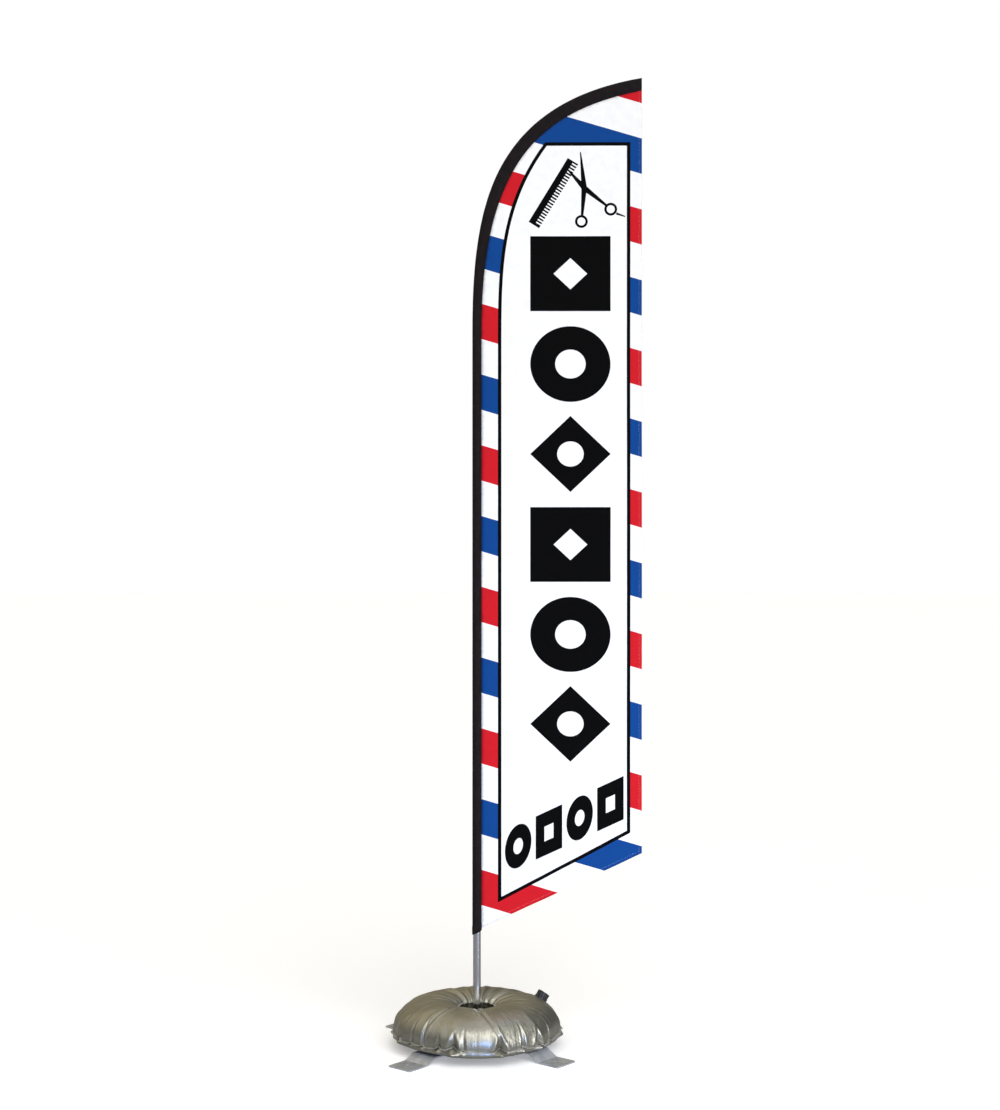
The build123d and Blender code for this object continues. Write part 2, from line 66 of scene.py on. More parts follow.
# Bend of the pole and the sleeve round it
BEND_START = 2.040
TIP_REACH = 0.472
TIP_RISE = 0.707
START_HANDLE = 0.418
TIP_HANDLE = 0.373
TIP_SLOPE = math.radians(10.3)
SLEEVE_RADIUS = 0.013
SLEEVE_TIP_FLATNESS = 0.42
SLEEVE_WIDENING = 0.7
SLEEVE_BOTTOM = 0.320
HEM_SLOPE = math.tan(math.radians(25.0))
SLEEVE_SHUT_FROM = 0.975  # share of the bend from which the sleeve's end is sewn flat
SLEEVE_END_HALF_THICKNESS = 0.0014
PINCH_FROM = 0.45         # cosine, round the sleeve, from which it narrows towards the seam
PINCHED = 0.35            # share of its thickness that it loses there
WEAVE_UV = "weave"        # map that runs round and along the sleeve

# Print on the flag
STRIPE_PERIOD = 0.405
STRIPE_SLOPE = 0.295
STRIPE_START = 2.1231     # upper edge of a red band, carried back to the pole's axis
FRAME_LEFT = 0.0600
FRAME_RIGHT = 0.4390
FRAME_TOP = 2.5810
FRAME_LINE = 0.0100
FRAME_LOW_LEFT = 0.4060
FRAME_LOW_RIGHT = 0.6050

# Water ring
RIM_RADIUS = 0.241
RIM_HEIGHT = 0.043
RIDGE_RADIUS = 0.125
RING_TOP = 0.130
HOLE_RADIUS = 0.056
HOLE_HEIGHT = 0.107
RING_BASE = BAG_BOX[0].z
FOOT_OUTER = 0.205
FOOT_INNER = 0.088
AROUND_RING = 512
BARS_RAISED_TO = 0.2248   # the bars slope down to the floor beyond this radius
BARS_FALL = 0.60
FACETING = 0.75           # 1 would make the rim's edges straight from corner to corner
GATHERS = 0.0060          # height of the gathers on the ridge
GATHERS_AT_HOLE = 0.0014
RIM_HALF_WIDTH = 0.0048
HOLE_HALF_WIDTH = 0.0046
WELD_HALF_THICKNESS = 0.0006


# ------------------------------------------------------------------ settings

def colour_property(name, description, default):
    return FloatVectorProperty(
        name=name, description=description, default=default,
        subtype="COLOR", size=3, min=0.0, max=1.0)


def length_property(name, description, default):
    return FloatProperty(
        name=name, description=description, default=default,
        min=0.0, subtype="DISTANCE", unit="LENGTH", precision=5)


def number_property(name, description, default, least=0.0):
    return FloatProperty(name=name, description=description, default=default, min=least)


class FlagClothSettings(bpy.types.PropertyGroup):
    """The printed cloth."""
    red: colour_property("Red", "Ink of the red bands", (0.550, 0.0115, 0.0195))
    blue: colour_property("Blue", "Ink of the blue bands", (0.0045, 0.0530, 0.2350))
    white: colour_property("White", "Cloth that carries no ink", (0.840, 0.840, 0.840))
    black: colour_property("Black", "Ink of the frame and the shapes", (0.0016, 0.0016, 0.0018))
    thickness: length_property("Thickness", "Thickness of the cloth", 0.00045)
    hem: length_property("Hem", "Width of the folded hem", 0.010)
    wave: length_property("Wave", "How far the cloth waves to each side", 0.0045)
    mesh_step: length_property("Mesh step", "Distance between the mesh's points", 0.008)


class SleeveSettings(bpy.types.PropertyGroup):
    """The pole sleeve."""
    colour: colour_property("Colour", "Colour of the sleeve's cloth", (0.0085, 0.0062, 0.0070))
    wall: length_property("Wall", "Thickness of the cloth", 0.0007)
    wrinkle: length_property("Wrinkle", "Height of the cloth's folds", 0.0009)


class WaterRingSettings(bpy.types.PropertyGroup):
    """The filled ring."""
    colour: colour_property("Vinyl", "Colour of the coated vinyl", (0.400, 0.390, 0.325))
    weld_colour: colour_property("Weld", "Colour of the welded edges", (0.400, 0.395, 0.360))
    pucker: length_property("Pucker", "How far the rim is drawn in at a pucker", 0.0130)
    crease: length_property("Crease", "Depth of the creases over the ring", 0.0034)
    sag: length_property("Sag", "How far the ring hangs down between the bars", 0.0050)
    swell: length_property("Swell", "Height of the soft swells of the filled ring", 0.0022)


class StitchSettings(bpy.types.PropertyGroup):
    """The sewn seams."""
    pitch: length_property("Pitch", "Distance from stitch to stitch", 0.0036)
    length: length_property("Length", "Length of one stitch", 0.0027)
    width: length_property("Width", "Width of the thread", 0.00050)
    sides: IntProperty(name="Subdivisions", description="Roundness of one stitch", default=1, min=1, max=2)


class StageSettings(bpy.types.PropertyGroup):
    """Floor, light and camera."""
    camera_distance: length_property("Camera distance", "From the camera to the pole", 5.0)
    camera_height: length_property("Camera height", "Height of the camera", 1.400)
    camera_side: length_property("Camera side", "How far the camera stands to the right", 0.066)
    lens: number_property("Lens", "Focal length in millimetres", 56.66, least=1.0)
    key_power: number_property("Key", "Power of the key light", 14.0)
    fill_power: number_property("Low", "Power of the low blue light", 16.0)
    strip_power: number_property("Strip", "Power of the strip light", 9.5)
    even_power: number_property("Even", "Strength of the even light", 1.12)
    sky: number_property("Sky", "Strength of the surroundings", 0.51)
    shade: number_property("Shade", "Brightness of the dark sides", 0.13)
    floor_glow: number_property("Floor", "Light given off by the floor", 0.27)


# -------------------------------------------------------------------- finishes

class Nodes:
    """A shader node tree, with short ways to add and join its nodes."""

    def __init__(self, tree):
        self.tree = tree

    def node(self, kind, **settings):
        made = self.tree.nodes.new("ShaderNode" + kind)
        for key, value in settings.items():
            setattr(made, key, value)
        return made

    def join(self, source, target):
        self.tree.links.new(source, target)

    def feed(self, socket, value):
        """A number or a colour on the socket, or a link into it."""
        if isinstance(value, (int, float)):
            socket.default_value = value
        elif isinstance(value, tuple):
            socket.default_value = (*value[:3], 1.0)
        else:
            self.join(value, socket)

    def remap(self, value, low, high, to_low, to_high, steps="LINEAR"):
        made = self.node("MapRange", interpolation_type=steps)
        for key, number in (("From Min", low), ("From Max", high), ("To Min", to_low), ("To Max", to_high)):
            made.inputs[key].default_value = number
        self.join(value, made.inputs["Value"])
        return made.outputs["Result"]

    def math(self, operation, a, b):
        made = self.node("Math", operation=operation)
        self.feed(made.inputs[0], a)
        self.feed(made.inputs[1], b)
        return made.outputs["Value"]

    def vector(self, operation, *vectors, output="Vector"):
        """Vector maths on sockets or on fixed vectors."""
        made = self.node("VectorMath", operation=operation)
        for socket, value in zip(made.inputs, vectors):
            if isinstance(value, tuple):
                socket.default_value = value
            else:
                self.join(value, socket)
        return made.outputs[output]

    def blend(self, factor, a, b):
        """Colour a where the factor is 0, colour b where it is 1."""
        made = self.node("Mix", data_type="RGBA")
        self.join(factor, made.inputs[0])
        self.feed(made.inputs[6], a)
        self.feed(made.inputs[7], b)
        return made.outputs[2]

    def shift(self, value, low, high, a, b, most=1):
        """Colour a where the value is low, and up to the share most of colour b where it is high."""
        return self.blend(self.remap(value, low, high, 0, most), a, b)


class Finish(Nodes):
    """One procedural material."""

    def __init__(self, name):
        self.material = bpy.data.materials.new(name)
        self.material.use_nodes = True
        super().__init__(self.material.node_tree)
        self.shader = self.tree.nodes["Principled BSDF"]

    def set(self, **values):
        """Constants on the shader's own sockets; an underscore stands for a space."""
        for key, value in values.items():
            self.shader.inputs[key.replace("_", " ")].default_value = value

    def place(self, scale=(1, 1, 1), uv=None):
        """Object coordinates, or a UV map, stretched by scale."""
        if uv:
            source = self.node("UVMap", uv_map=uv).outputs["UV"]
        else:
            source = self.node("TexCoord").outputs["Object"]
        mapping = self.node("Mapping")
        mapping.inputs["Scale"].default_value = scale
        self.join(source, mapping.inputs["Vector"])
        return mapping.outputs["Vector"]

    def texture(self, made, place, **numbers):
        """A texture node at a place, with numbers on its inputs."""
        for key, number in numbers.items():
            made.inputs[key].default_value = number
        self.join(place, made.inputs["Vector"])
        return made.outputs

    def noise(self, scale, detail=3.0, roughness=0.5, stretch=(1, 1, 1), distortion=0.0):
        return self.texture(self.node("TexNoise"), self.place(stretch), Scale=scale, Detail=detail,
                            Roughness=roughness, Distortion=distortion)["Fac"]

    def radial_noise(self, around, along, detail=4.0, roughness=0.6):
        """Noise drawn out from the spindle's axis, with no seam round it."""
        flat = self.vector("MULTIPLY", self.node("TexCoord").outputs["Object"], (1, 1, 0))
        reach = self.vector("LENGTH", flat, output="Value")
        height = self.node("CombineXYZ")
        self.join(self.math("MULTIPLY", reach, along / around), height.inputs["Z"])
        place = self.vector("ADD", self.vector("NORMALIZE", flat), height.outputs["Vector"])
        return self.texture(self.node("TexNoise"), place, Scale=around, Detail=detail,
                            Roughness=roughness)["Fac"]

    def cells(self, scale):
        """Random grey tone of each crystal."""
        crystals = self.texture(self.node("TexVoronoi"), self.place(), Scale=scale)
        grey = self.node("RGBToBW")
        self.join(crystals["Color"], grey.inputs["Color"])
        return grey.outputs["Val"]

    def waves(self, scale, direction, stretch=(1, 1, 1), uv=None, distortion=0.0):
        made = self.node("TexWave", wave_type="BANDS", bands_direction=direction)
        return self.texture(made, self.place(stretch, uv), Scale=scale, Distortion=distortion)["Fac"]

    def bump(self, height, distance, strength=1.0, below=None):
        made = self.node("Bump")
        made.inputs["Strength"].default_value = strength
        made.inputs["Distance"].default_value = distance
        self.join(height, made.inputs["Height"])
        if below is not None:
            self.join(below, made.inputs["Normal"])
        return made.outputs["Normal"]

    def finish(self, colour=None, roughness=None, normal=None):
        for value, key in ((colour, "Base Color"), (roughness, "Roughness"), (normal, "Normal")):
            if value is not None:
                self.join(value, self.shader.inputs[key])
        return self.material


def shade(colour, amount):
    return tuple(min(1.0, channel * amount) for channel in colour)


def printed_cloth(name, colour):
    """Knitted polyester with ink: fine courses and wales, faint unevenness of the print, and painted shade in
    the knit's gaps.
    """
    f = Finish(name)
    wales = f.waves(330.0, "X")
    courses = f.waves(300.0, "Z", distortion=0.6)
    knit = f.math("MULTIPLY", wales, courses)
    uneven = f.noise(38.0, 4.0, 0.6)
    crimp = f.noise(11.0, 3.0, 0.55, stretch=(1, 1, 0.35))
    tone = f.shift(uneven, 0.3, 0.7, shade(colour, 0.95), shade(colour, 1.04))
    # Painted shade: the cloth is drawn up to a tenth darker where the knit is low, between its threads.
    tone = f.blend(f.remap(knit, 0.0, 1.0, 0.10, 0.0), tone, shade(colour, 0.72))
    f.set(Sheen_Weight=0.01, Sheen_Roughness=0.5, Specular_IOR_Level=0.05)
    normal = f.bump(crimp, 0.0016, 0.5)
    normal = f.bump(knit, 0.00012, 0.6, normal)
    return f.finish(tone, f.remap(uneven, 0.3, 0.7, 0.66, 0.80), normal)


def sleeve_cloth(name, colour):
    """Black twill: diagonal ribs that follow the tube, a little dust in random patches."""
    f = Finish(name)
    ribs = f.waves(1.0, "DIAGONAL", stretch=(190.0, 190.0, 190.0), uv=WEAVE_UV)
    threads = f.waves(1.0, "X", stretch=(420.0, 420.0, 1.0), uv=WEAVE_UV)
    weave = f.math("ADD", ribs, f.math("MULTIPLY", threads, 0.4))
    dust = f.noise(55.0, 5.0, 0.65)
    tone = f.shift(dust, 0.42, 0.75, colour, shade(colour, 1.7))
    f.set(Sheen_Weight=0.02, Sheen_Roughness=0.4, Specular_IOR_Level=0.10)
    normal = f.bump(f.noise(60.0, 2.0, 0.5, stretch=(1, 1, 0.2)), 0.0012, 0.5)
    normal = f.bump(weave, 0.00016, 0.7, normal)
    return f.finish(tone, f.remap(dust, 0.3, 0.7, 0.70, 0.88), normal)


def thread(name, colour):
    """Twisted polyester thread, with painted shade in the grooves between its plies and painted highlight on
    their crests.
    """
    f = Finish(name)
    ply = f.waves(900.0, "DIAGONAL")
    # Painted shade and highlight: darker in the ply's grooves, lighter on its crests.
    tone = f.blend(ply, shade(colour, 0.8), shade(colour, 1.25))
    f.set(Sheen_Weight=0.2, Specular_IOR_Level=0.35)
    return f.finish(tone, f.remap(ply, 0, 1, 0.5, 0.65), f.bump(ply, 0.0001, 0.5))


def silver_vinyl(name, colour):
    """Coated vinyl: metallic pigment, fine film texture, hairline creases, scuffs."""
    f = Finish(name)
    mottle = f.noise(14.0, 5.0, 0.6)
    scuff = f.noise(85.0, 6.0, 0.7, stretch=(1, 1, 2.2))
    film = f.noise(420.0, 2.0, 0.5)
    hairlines = f.noise(30.0, 3.0, 0.6, distortion=1.4)
    lines = f.remap(f.math("ABSOLUTE", f.math("SUBTRACT", hairlines, 0.5), 0.0), 0.0, 0.018, 1.0, 0.0)
    tone = f.shift(mottle, 0.35, 0.65, shade(colour, 0.88), shade(colour, 1.10))
    tone = f.shift(scuff, 0.58, 0.80, tone, shade(colour, 1.45), 0.5)
    f.set(Metallic=0.92, Coat_Weight=0.20, Coat_Roughness=0.18, Specular_IOR_Level=0.5)
    rough = f.math("ADD", f.remap(scuff, 0.3, 0.75, 0.24, 0.40), f.remap(mottle, 0.3, 0.7, 0.0, 0.05))
    drawn = f.radial_noise(9.0, 14.0)
    normal = f.bump(drawn, 0.0060, 0.5)
    normal = f.bump(f.noise(30.0, 3.0, 0.5), 0.0022, 0.45, normal)
    normal = f.bump(lines, 0.0005, 0.5, normal)
    normal = f.bump(film, 0.00010, 0.4, normal)
    return f.finish(tone, rough, normal)


def weld_vinyl(name, colour):
    """Welded edge of the vinyl, pressed into a fine grid by the welding bar."""
    f = Finish(name)
    grid = f.math("MULTIPLY", f.waves(180.0, "X"), f.waves(180.0, "Y"))
    mottle = f.noise(30.0, 4.0, 0.6)
    tone = f.shift(mottle, 0.35, 0.65, shade(colour, 0.85), shade(colour, 1.12))
    f.set(Metallic=0.45, Specular_IOR_Level=0.5)
    return f.finish(tone, f.remap(mottle, 0.3, 0.7, 0.34, 0.48), f.bump(grid, 0.00025, 0.6))


def galvanised(name, colour):
    """Hot-dip zinc: crystal facets of slightly different tone, soft streaks, dull scuffs."""
    f = Finish(name)
    facet = f.cells(58.0)
    streak = f.noise(22.0, 4.0, 0.6)
    scuff = f.noise(140.0, 5.0, 0.7)
    tone = f.shift(facet, 0.1, 0.9, shade(colour, 0.88), shade(colour, 1.08))
    tone = f.shift(streak, 0.50, 0.75, tone, shade(colour, 0.70), 0.45)
    f.set(Metallic=0.62, Specular_IOR_Level=0.5)
    rough = f.math("ADD", f.remap(facet, 0, 1, 0.30, 0.44), f.remap(scuff, 0.5, 0.8, 0.0, 0.16))
    normal = f.bump(facet, 0.00008, 0.5)
    normal = f.bump(scuff, 0.00010, 0.5, normal)
    return f.finish(tone, rough, normal)


def metal(name, colour, roughness, lines=(1, 1, 1), fineness=220.0):
    """Machined or drawn metal: fine lines along the way it was worked, faint handling marks."""
    f = Finish(name)
    work = f.noise(fineness, 4.0, 0.6, stretch=lines)
    marks = f.noise(34.0, 5.0, 0.65)
    tone = f.shift(work, 0.3, 0.7, shade(colour, 0.93), shade(colour, 1.05))
    tone = f.shift(marks, 0.55, 0.80, tone, shade(colour, 0.55), 0.25)
    f.set(Metallic=1.0)
    rough = f.math("ADD", f.remap(work, 0.3, 0.7, roughness * 0.85, roughness * 1.15),
                   f.remap(marks, 0.5, 0.8, 0.0, 0.12))
    return f.finish(tone, rough, f.bump(work, 0.00004, 0.5))


def moulded(name, colour, roughness, grain=320.0, worn=1.6):
    """Moulded plastic or rubber: fine grain, slightly polished where it is touched."""
    f = Finish(name)
    fine = f.noise(grain, 3.0, 0.6)
    broad = f.noise(40.0, 4.0, 0.6)
    tone = f.shift(broad, 0.45, 0.75, colour, shade(colour, worn))
    f.set(Specular_IOR_Level=0.45)
    rough = f.math("ADD", f.remap(broad, 0.3, 0.7, roughness * 0.88, roughness * 1.1),
                   f.remap(fine, 0.3, 0.7, -0.03, 0.03))
    return f.finish(tone, rough, f.bump(fine, 0.00012, 0.6))


def webbing(name, colour):
    """Flat woven tape, with painted shade between its threads and painted highlight where they cross over."""
    f = Finish(name)
    ribs = f.waves(260.0, "Z")
    cross = f.waves(260.0, "X")
    weave = f.math("MULTIPLY", ribs, cross)
    # Painted shade and highlight: darker where the weave is low, lighter where it is high.
    tone = f.blend(weave, shade(colour, 0.7), shade(colour, 1.3))
    f.set(Sheen_Weight=0.2)
    return f.finish(tone, f.remap(weave, 0, 1, 0.7, 0.9), f.bump(weave, 0.0003, 0.7))


# --------------------------------------------------------------------- helpers

def settle(value):
    """Smooth step from 0 to 1."""
    value = np.clip(value, 0.0, 1.0)
    return value * value * (3 - 2 * value)


def add_mesh(name, points, faces, materials, uvs=None):
    """Smooth-shaded mesh object; uvs holds one (u, v) for each point."""
    mesh = bpy.data.meshes.new(name)
    mesh.from_pydata([tuple(map(float, point)) for point in points], [], faces)
    for material in materials:
        mesh.materials.append(material)
    mesh.polygons.foreach_set("use_smooth", [True] * len(mesh.polygons))
    if uvs is not None:
        layer = mesh.uv_layers.new(name=WEAVE_UV)
        for loop in mesh.loops:
            layer.data[loop.index].uv = uvs[loop.vertex_index]
    mesh.update()
    piece = bpy.data.objects.new(name, mesh)
    bpy.context.scene.collection.objects.link(piece)
    return piece


def grid_faces(rows, columns, closed_rows=False, flip=False):
    """Quads over a grid of points stored row by row."""
    faces = []
    for row in range(rows if closed_rows else rows - 1):
        after = (row + 1) % rows
        for column in range(columns):
            beside = (column + 1) % columns
            face = (row * columns + column, row * columns + beside,
                    after * columns + beside, after * columns + column)
            faces.append(face[::-1] if flip else face)
    return faces


def soft_noise(points, scale, seed=0.0):
    """Smooth noise from -1 to 1 at each point."""
    shift = Vector((seed, seed * 1.7, seed * 0.3))
    return np.array([noise.noise(Vector(point) * scale + shift) for point in points])


def curve_of(points, share):
    """Point of a cubic curve with these four control points."""
    a, b, c, d = (np.array(point, float) for point in points)
    rest = 1 - share
    return a * rest**3 + b * (3 * rest**2 * share) + c * (3 * rest * share**2) + d * share**3


# ---------------------------------------------------------------- pole's bend

def bend_controls():
    tip = np.array((TIP_REACH, BEND_START + TIP_RISE))
    back = np.array((math.cos(TIP_SLOPE), math.sin(TIP_SLOPE))) * TIP_HANDLE
    return ((0.0, BEND_START), (0.0, BEND_START + START_HANDLE), tip - back, tip)


def bend_frame(share):
    """Centre of the bend, its direction and the way to its inside, in the flag's plane."""
    controls = bend_controls()
    centre = curve_of(controls, share)
    ahead = curve_of(controls, min(1.0, share + 0.001)) - curve_of(controls, max(0.0, share - 0.001))
    along = ahead / np.hypot(*ahead)
    upright = float(settle((share - 0.86) / 0.14))
    along = along * (1 - upright) + np.array((1.0, 0.0)) * upright
    along = along / np.hypot(*along)
    return centre, along, np.array((along[1], -along[0]))


def sleeve_section(share):
    """Half width and half thickness of the sleeve along the bend."""
    ease = float(settle(2 * share))
    flatness = 1 - (1 - SLEEVE_TIP_FLATNESS) * ease
    return SLEEVE_RADIUS * (1 + SLEEVE_WIDENING * (1 - flatness)), SLEEVE_RADIUS * flatness


def seam_line(inset=0.0, step=0.008):
    """The line where the cloth meets the sleeve, from the hem to the tip, as (x, z) points."""
    straight = SLEEVE_RADIUS - 0.0004 + inset
    low = PANEL_BOX[0].z
    count = int((BEND_START - low) / step)
    line = [(straight, low + (BEND_START - low) * i / count) for i in range(count)]
    for i in range(int(0.95 / step) + 1):
        share = i / int(0.95 / step)
        centre, _, inward = bend_frame(share)
        point = centre + inward * (sleeve_section(share)[0] - 0.0004 + inset)
        if point[0] < TIP_REACH - 0.0005:
            line.append(tuple(point))
    return line


# ------------------------------------------------------------------ the print

def densify(points, step, closed=False):
    """The same line with a point at least every step."""
    out = []
    last = len(points) if closed else len(points) - 1
    for i in range(last):
        a, b = np.array(points[i]), np.array(points[(i + 1) % len(points)])
        parts = max(1, int(math.ceil(np.hypot(*(b - a)) / step)))
        out += [tuple(a + (b - a) * k / parts) for k in range(parts)]
    if not closed:
        out.append(tuple(points[-1]))
    return out


def circle_outline(centre, radius, count=40, stretch=1.0, slope=0.0):
    x, z = centre
    return [(x + radius * math.cos(2 * math.pi * i / count),
             z + radius * stretch * math.sin(2 * math.pi * i / count)
             + slope * radius * math.cos(2 * math.pi * i / count)) for i in range(count)]


def frame_outline(inset):
    """The drawn frame round the white field, inset from its outer edge."""
    left = FRAME_LEFT + inset
    right = FRAME_RIGHT - inset
    top = FRAME_TOP - inset
    curve_start, curve_rise, curve_run, power = 1.987, 0.594, 0.135, 3.3
    outline = [(left, FRAME_LOW_LEFT + inset * 1.6)]
    steps = 60
    for i in range(steps + 1):
        z = curve_start + (top - curve_start) * i / steps
        share = (z - curve_start) / curve_rise
        lean = curve_run * power * share ** (power - 1) / curve_rise
        x = FRAME_LEFT + curve_run * share**power + inset * math.sqrt(1 + lean * lean)
        outline.append((max(left, x), z))
    outline.append((right, top))
    outline.append((right, FRAME_LOW_RIGHT + inset * 0.6))
    return outline


def line_shape(start, end, width_start, width_end):
    """Straight tapering bar between two points."""
    a, b = np.array(start), np.array(end)
    along = (b - a) / np.hypot(*(b - a))
    side = np.array((-along[1], along[0]))
    return [tuple(a + side * width_start / 2), tuple(a - side * width_start / 2),
            tuple(b - side * width_end / 2), tuple(b + side * width_end / 2)]


def oval_shape(centre, radius, hole_share, counts, stretch, slope=0.0):
    """A ring-shaped emblem: its outline and its hole."""
    return (circle_outline(centre, radius, counts[0], stretch, slope),
            circle_outline(centre, radius * hole_share, counts[1], stretch, slope))


def comb_outline():
    """A comb: a straight spine with even teeth on its lower side."""
    low, high = np.array((0.156, 2.349)), np.array((0.268, 2.531))
    length = np.hypot(*(high - low))
    along = (high - low) / length
    side = np.array((along[1], -along[0]))
    spine, tooth, count = 0.019, 0.016, 24
    outline = [low - side * spine / 2, high - side * spine / 2]
    pitch = length / count
    for i in range(count):
        at = high - along * pitch * i
        outline += [at + side * (spine / 2 + tooth), at - along * pitch * 0.56 + side * (spine / 2 + tooth)]
        if i < count - 1:
            outline += [at - along * pitch * 0.56 + side * spine / 2, at - along * pitch + side * spine / 2]
    outline.append(low + side * (spine / 2 + tooth))
    return [tuple(point) for point in outline]


def tool_shapes():
    """Comb and open scissors: (outline, hole) pairs."""
    pivot = (0.307, 2.451)
    blade, shank = (0.003, 0.016), (0.016, 0.007)
    shapes = [(comb_outline(), None)]
    for tip, grip, finger_ring in (((0.296, 2.553), (0.301, 2.371), (0.299, 2.355)),
                                   ((0.258, 2.505), (0.369, 2.402), (0.383, 2.390))):
        shapes.append((line_shape(tip, pivot, *blade), None))
        shapes.append((line_shape(pivot, grip, *shank), None))
        shapes.append((circle_outline(finger_ring, 0.0185, 32), circle_outline(finger_ring, 0.0115, 28)))
    shapes.append((line_shape((0.399, 2.378), (0.424, 2.369), 0.007, 0.003), None))
    return shapes


def stacked_shapes():
    """Six bold emblems, one above the other: block, oval and diamond by turns, each with a hole."""
    heights = ((2.313, 2.098), (2.055, 1.838), (1.798, 1.580), (1.537, 1.323), (1.280, 1.065), (1.025, 0.808))
    middle, half_width = 0.2675, 0.1150
    left, right = middle - half_width, middle + half_width
    shapes = []
    for i, (high, low) in enumerate(heights):
        level = (high + low) / 2
        stretch = (high - low) / 2 / half_width
        diamond = [(left, level), (middle, low), (right, level), (middle, high)]
        if i % 3 == 0:
            hole = [(x * 0.42 + middle * 0.58, z * 0.42 + level * 0.58) for x, z in diamond]
            shapes.append(([(left, low), (right, low), (right, high), (left, high)], hole))
        elif i % 3 == 1:
            shapes.append(oval_shape((middle, level), half_width, 0.38, (72, 48), stretch))
        else:
            shapes.append((diamond, circle_outline((middle, level), half_width * 0.33, 44, stretch)))
    return shapes


def slanted_shapes():
    """Four small emblems in a row that climbs with the lower edge."""
    climb, first_x, first_z, pitch = 0.458, 0.118, 0.567, 0.0880
    half_width, half_height = 0.038, 0.062
    shapes = []
    for i in range(4):
        x = first_x + pitch * i
        z = first_z + climb * (x - first_x)
        if i % 2 == 0:
            shapes.append(oval_shape((x, z), half_width, 0.36, (40, 28), half_height / half_width, climb))
        else:
            corners = ((-1, -1), (1, -1), (1, 1), (-1, 1))
            shapes.append(tuple([(x + a * half_width * size,
                                  z + b * half_height * size + a * half_width * size * climb)
                                 for a, b in corners] for size in (1, 0.34)))
    return shapes


def inside(points, outline):
    """Which of the points lie inside a closed outline."""
    x, z = points[:, 0], points[:, 1]
    result = np.zeros(len(points), bool)
    count = len(outline)
    for i in range(count):
        (x1, z1), (x2, z2) = outline[i], outline[(i + 1) % count]
        if z1 == z2:
            continue
        crosses = (z1 > z) != (z2 > z)
        result ^= crosses & (x < (x2 - x1) * (z - z1) / (z2 - z1) + x1)
    return result


INKS = ("white", "red", "blue", "black")
INK_WHITE, INK_RED, INK_BLUE, INK_BLACK = range(4)
BAND = STRIPE_PERIOD / 4


def ink_at(points, shapes):
    """Which ink each point of the cloth carries."""
    below = STRIPE_START - STRIPE_SLOPE * points[:, 0] - points[:, 1]
    bands = np.floor(below / BAND).astype(int) % 4
    ink = np.array((INK_RED, INK_WHITE, INK_BLUE, INK_WHITE))[bands]
    ink[inside(points, frame_outline(0.0))] = INK_BLACK
    ink[inside(points, frame_outline(FRAME_LINE))] = INK_WHITE
    for outline, hole in shapes:
        filled = inside(points, outline)
        if hole:
            filled &= ~inside(points, hole)
        ink[filled] = INK_BLACK
    return ink


def panel_outline(step):
    """Outline of the cut cloth, from the hem's inner corner up the seam and down the free edge."""
    seam = seam_line(step=step)
    end_x = PANEL_BOX[1].x
    low_x, low_z = seam[0]
    corner = (end_x, low_z + (end_x - low_x) * HEM_SLOPE)
    top = (end_x, seam[-1][1] + (end_x - seam[-1][0]) * math.tan(TIP_SLOPE))
    return seam, top, corner


def nearest(line):
    """A search tree over (x, z) points."""
    tree = KDTree(len(line))
    for index, (x, z) in enumerate(line):
        tree.insert((x, 0.0, z), index)
    tree.balance()
    return tree


def distance_to_line(points, line):
    """Distance from each point to the nearest point of a densely sampled line."""
    tree = nearest(line)
    return np.array([tree.find((x, 0.0, z))[2] for x, z in points])


def cloth_depth(points, wave):
    """How far the cloth stands off the flag's plane: nothing at the seam, most near the free corner."""
    points = np.asarray(points, float)
    x, z = points[:, 0], points[:, 1]
    free = settle((distance_to_line(points, seam_line(step=0.004)) - 0.004) / 0.16)
    roll = np.sin(2 * math.pi * (z * 0.83 + x * 1.10) + 0.6)
    roll = roll + 0.45 * np.sin(2 * math.pi * (z * 1.9 - x * 1.7) + 2.1)
    ripple = 0.16 * np.sin(2 * math.pi * (z * 5.1 + x * 2.3) + 1.0)
    drag = 0.30 * np.sin(2 * math.pi * (x * 9.0 + z * 2.2)) * settle((0.62 - z) / 0.25)
    return wave * free * (0.62 * roll + ripple + drag)


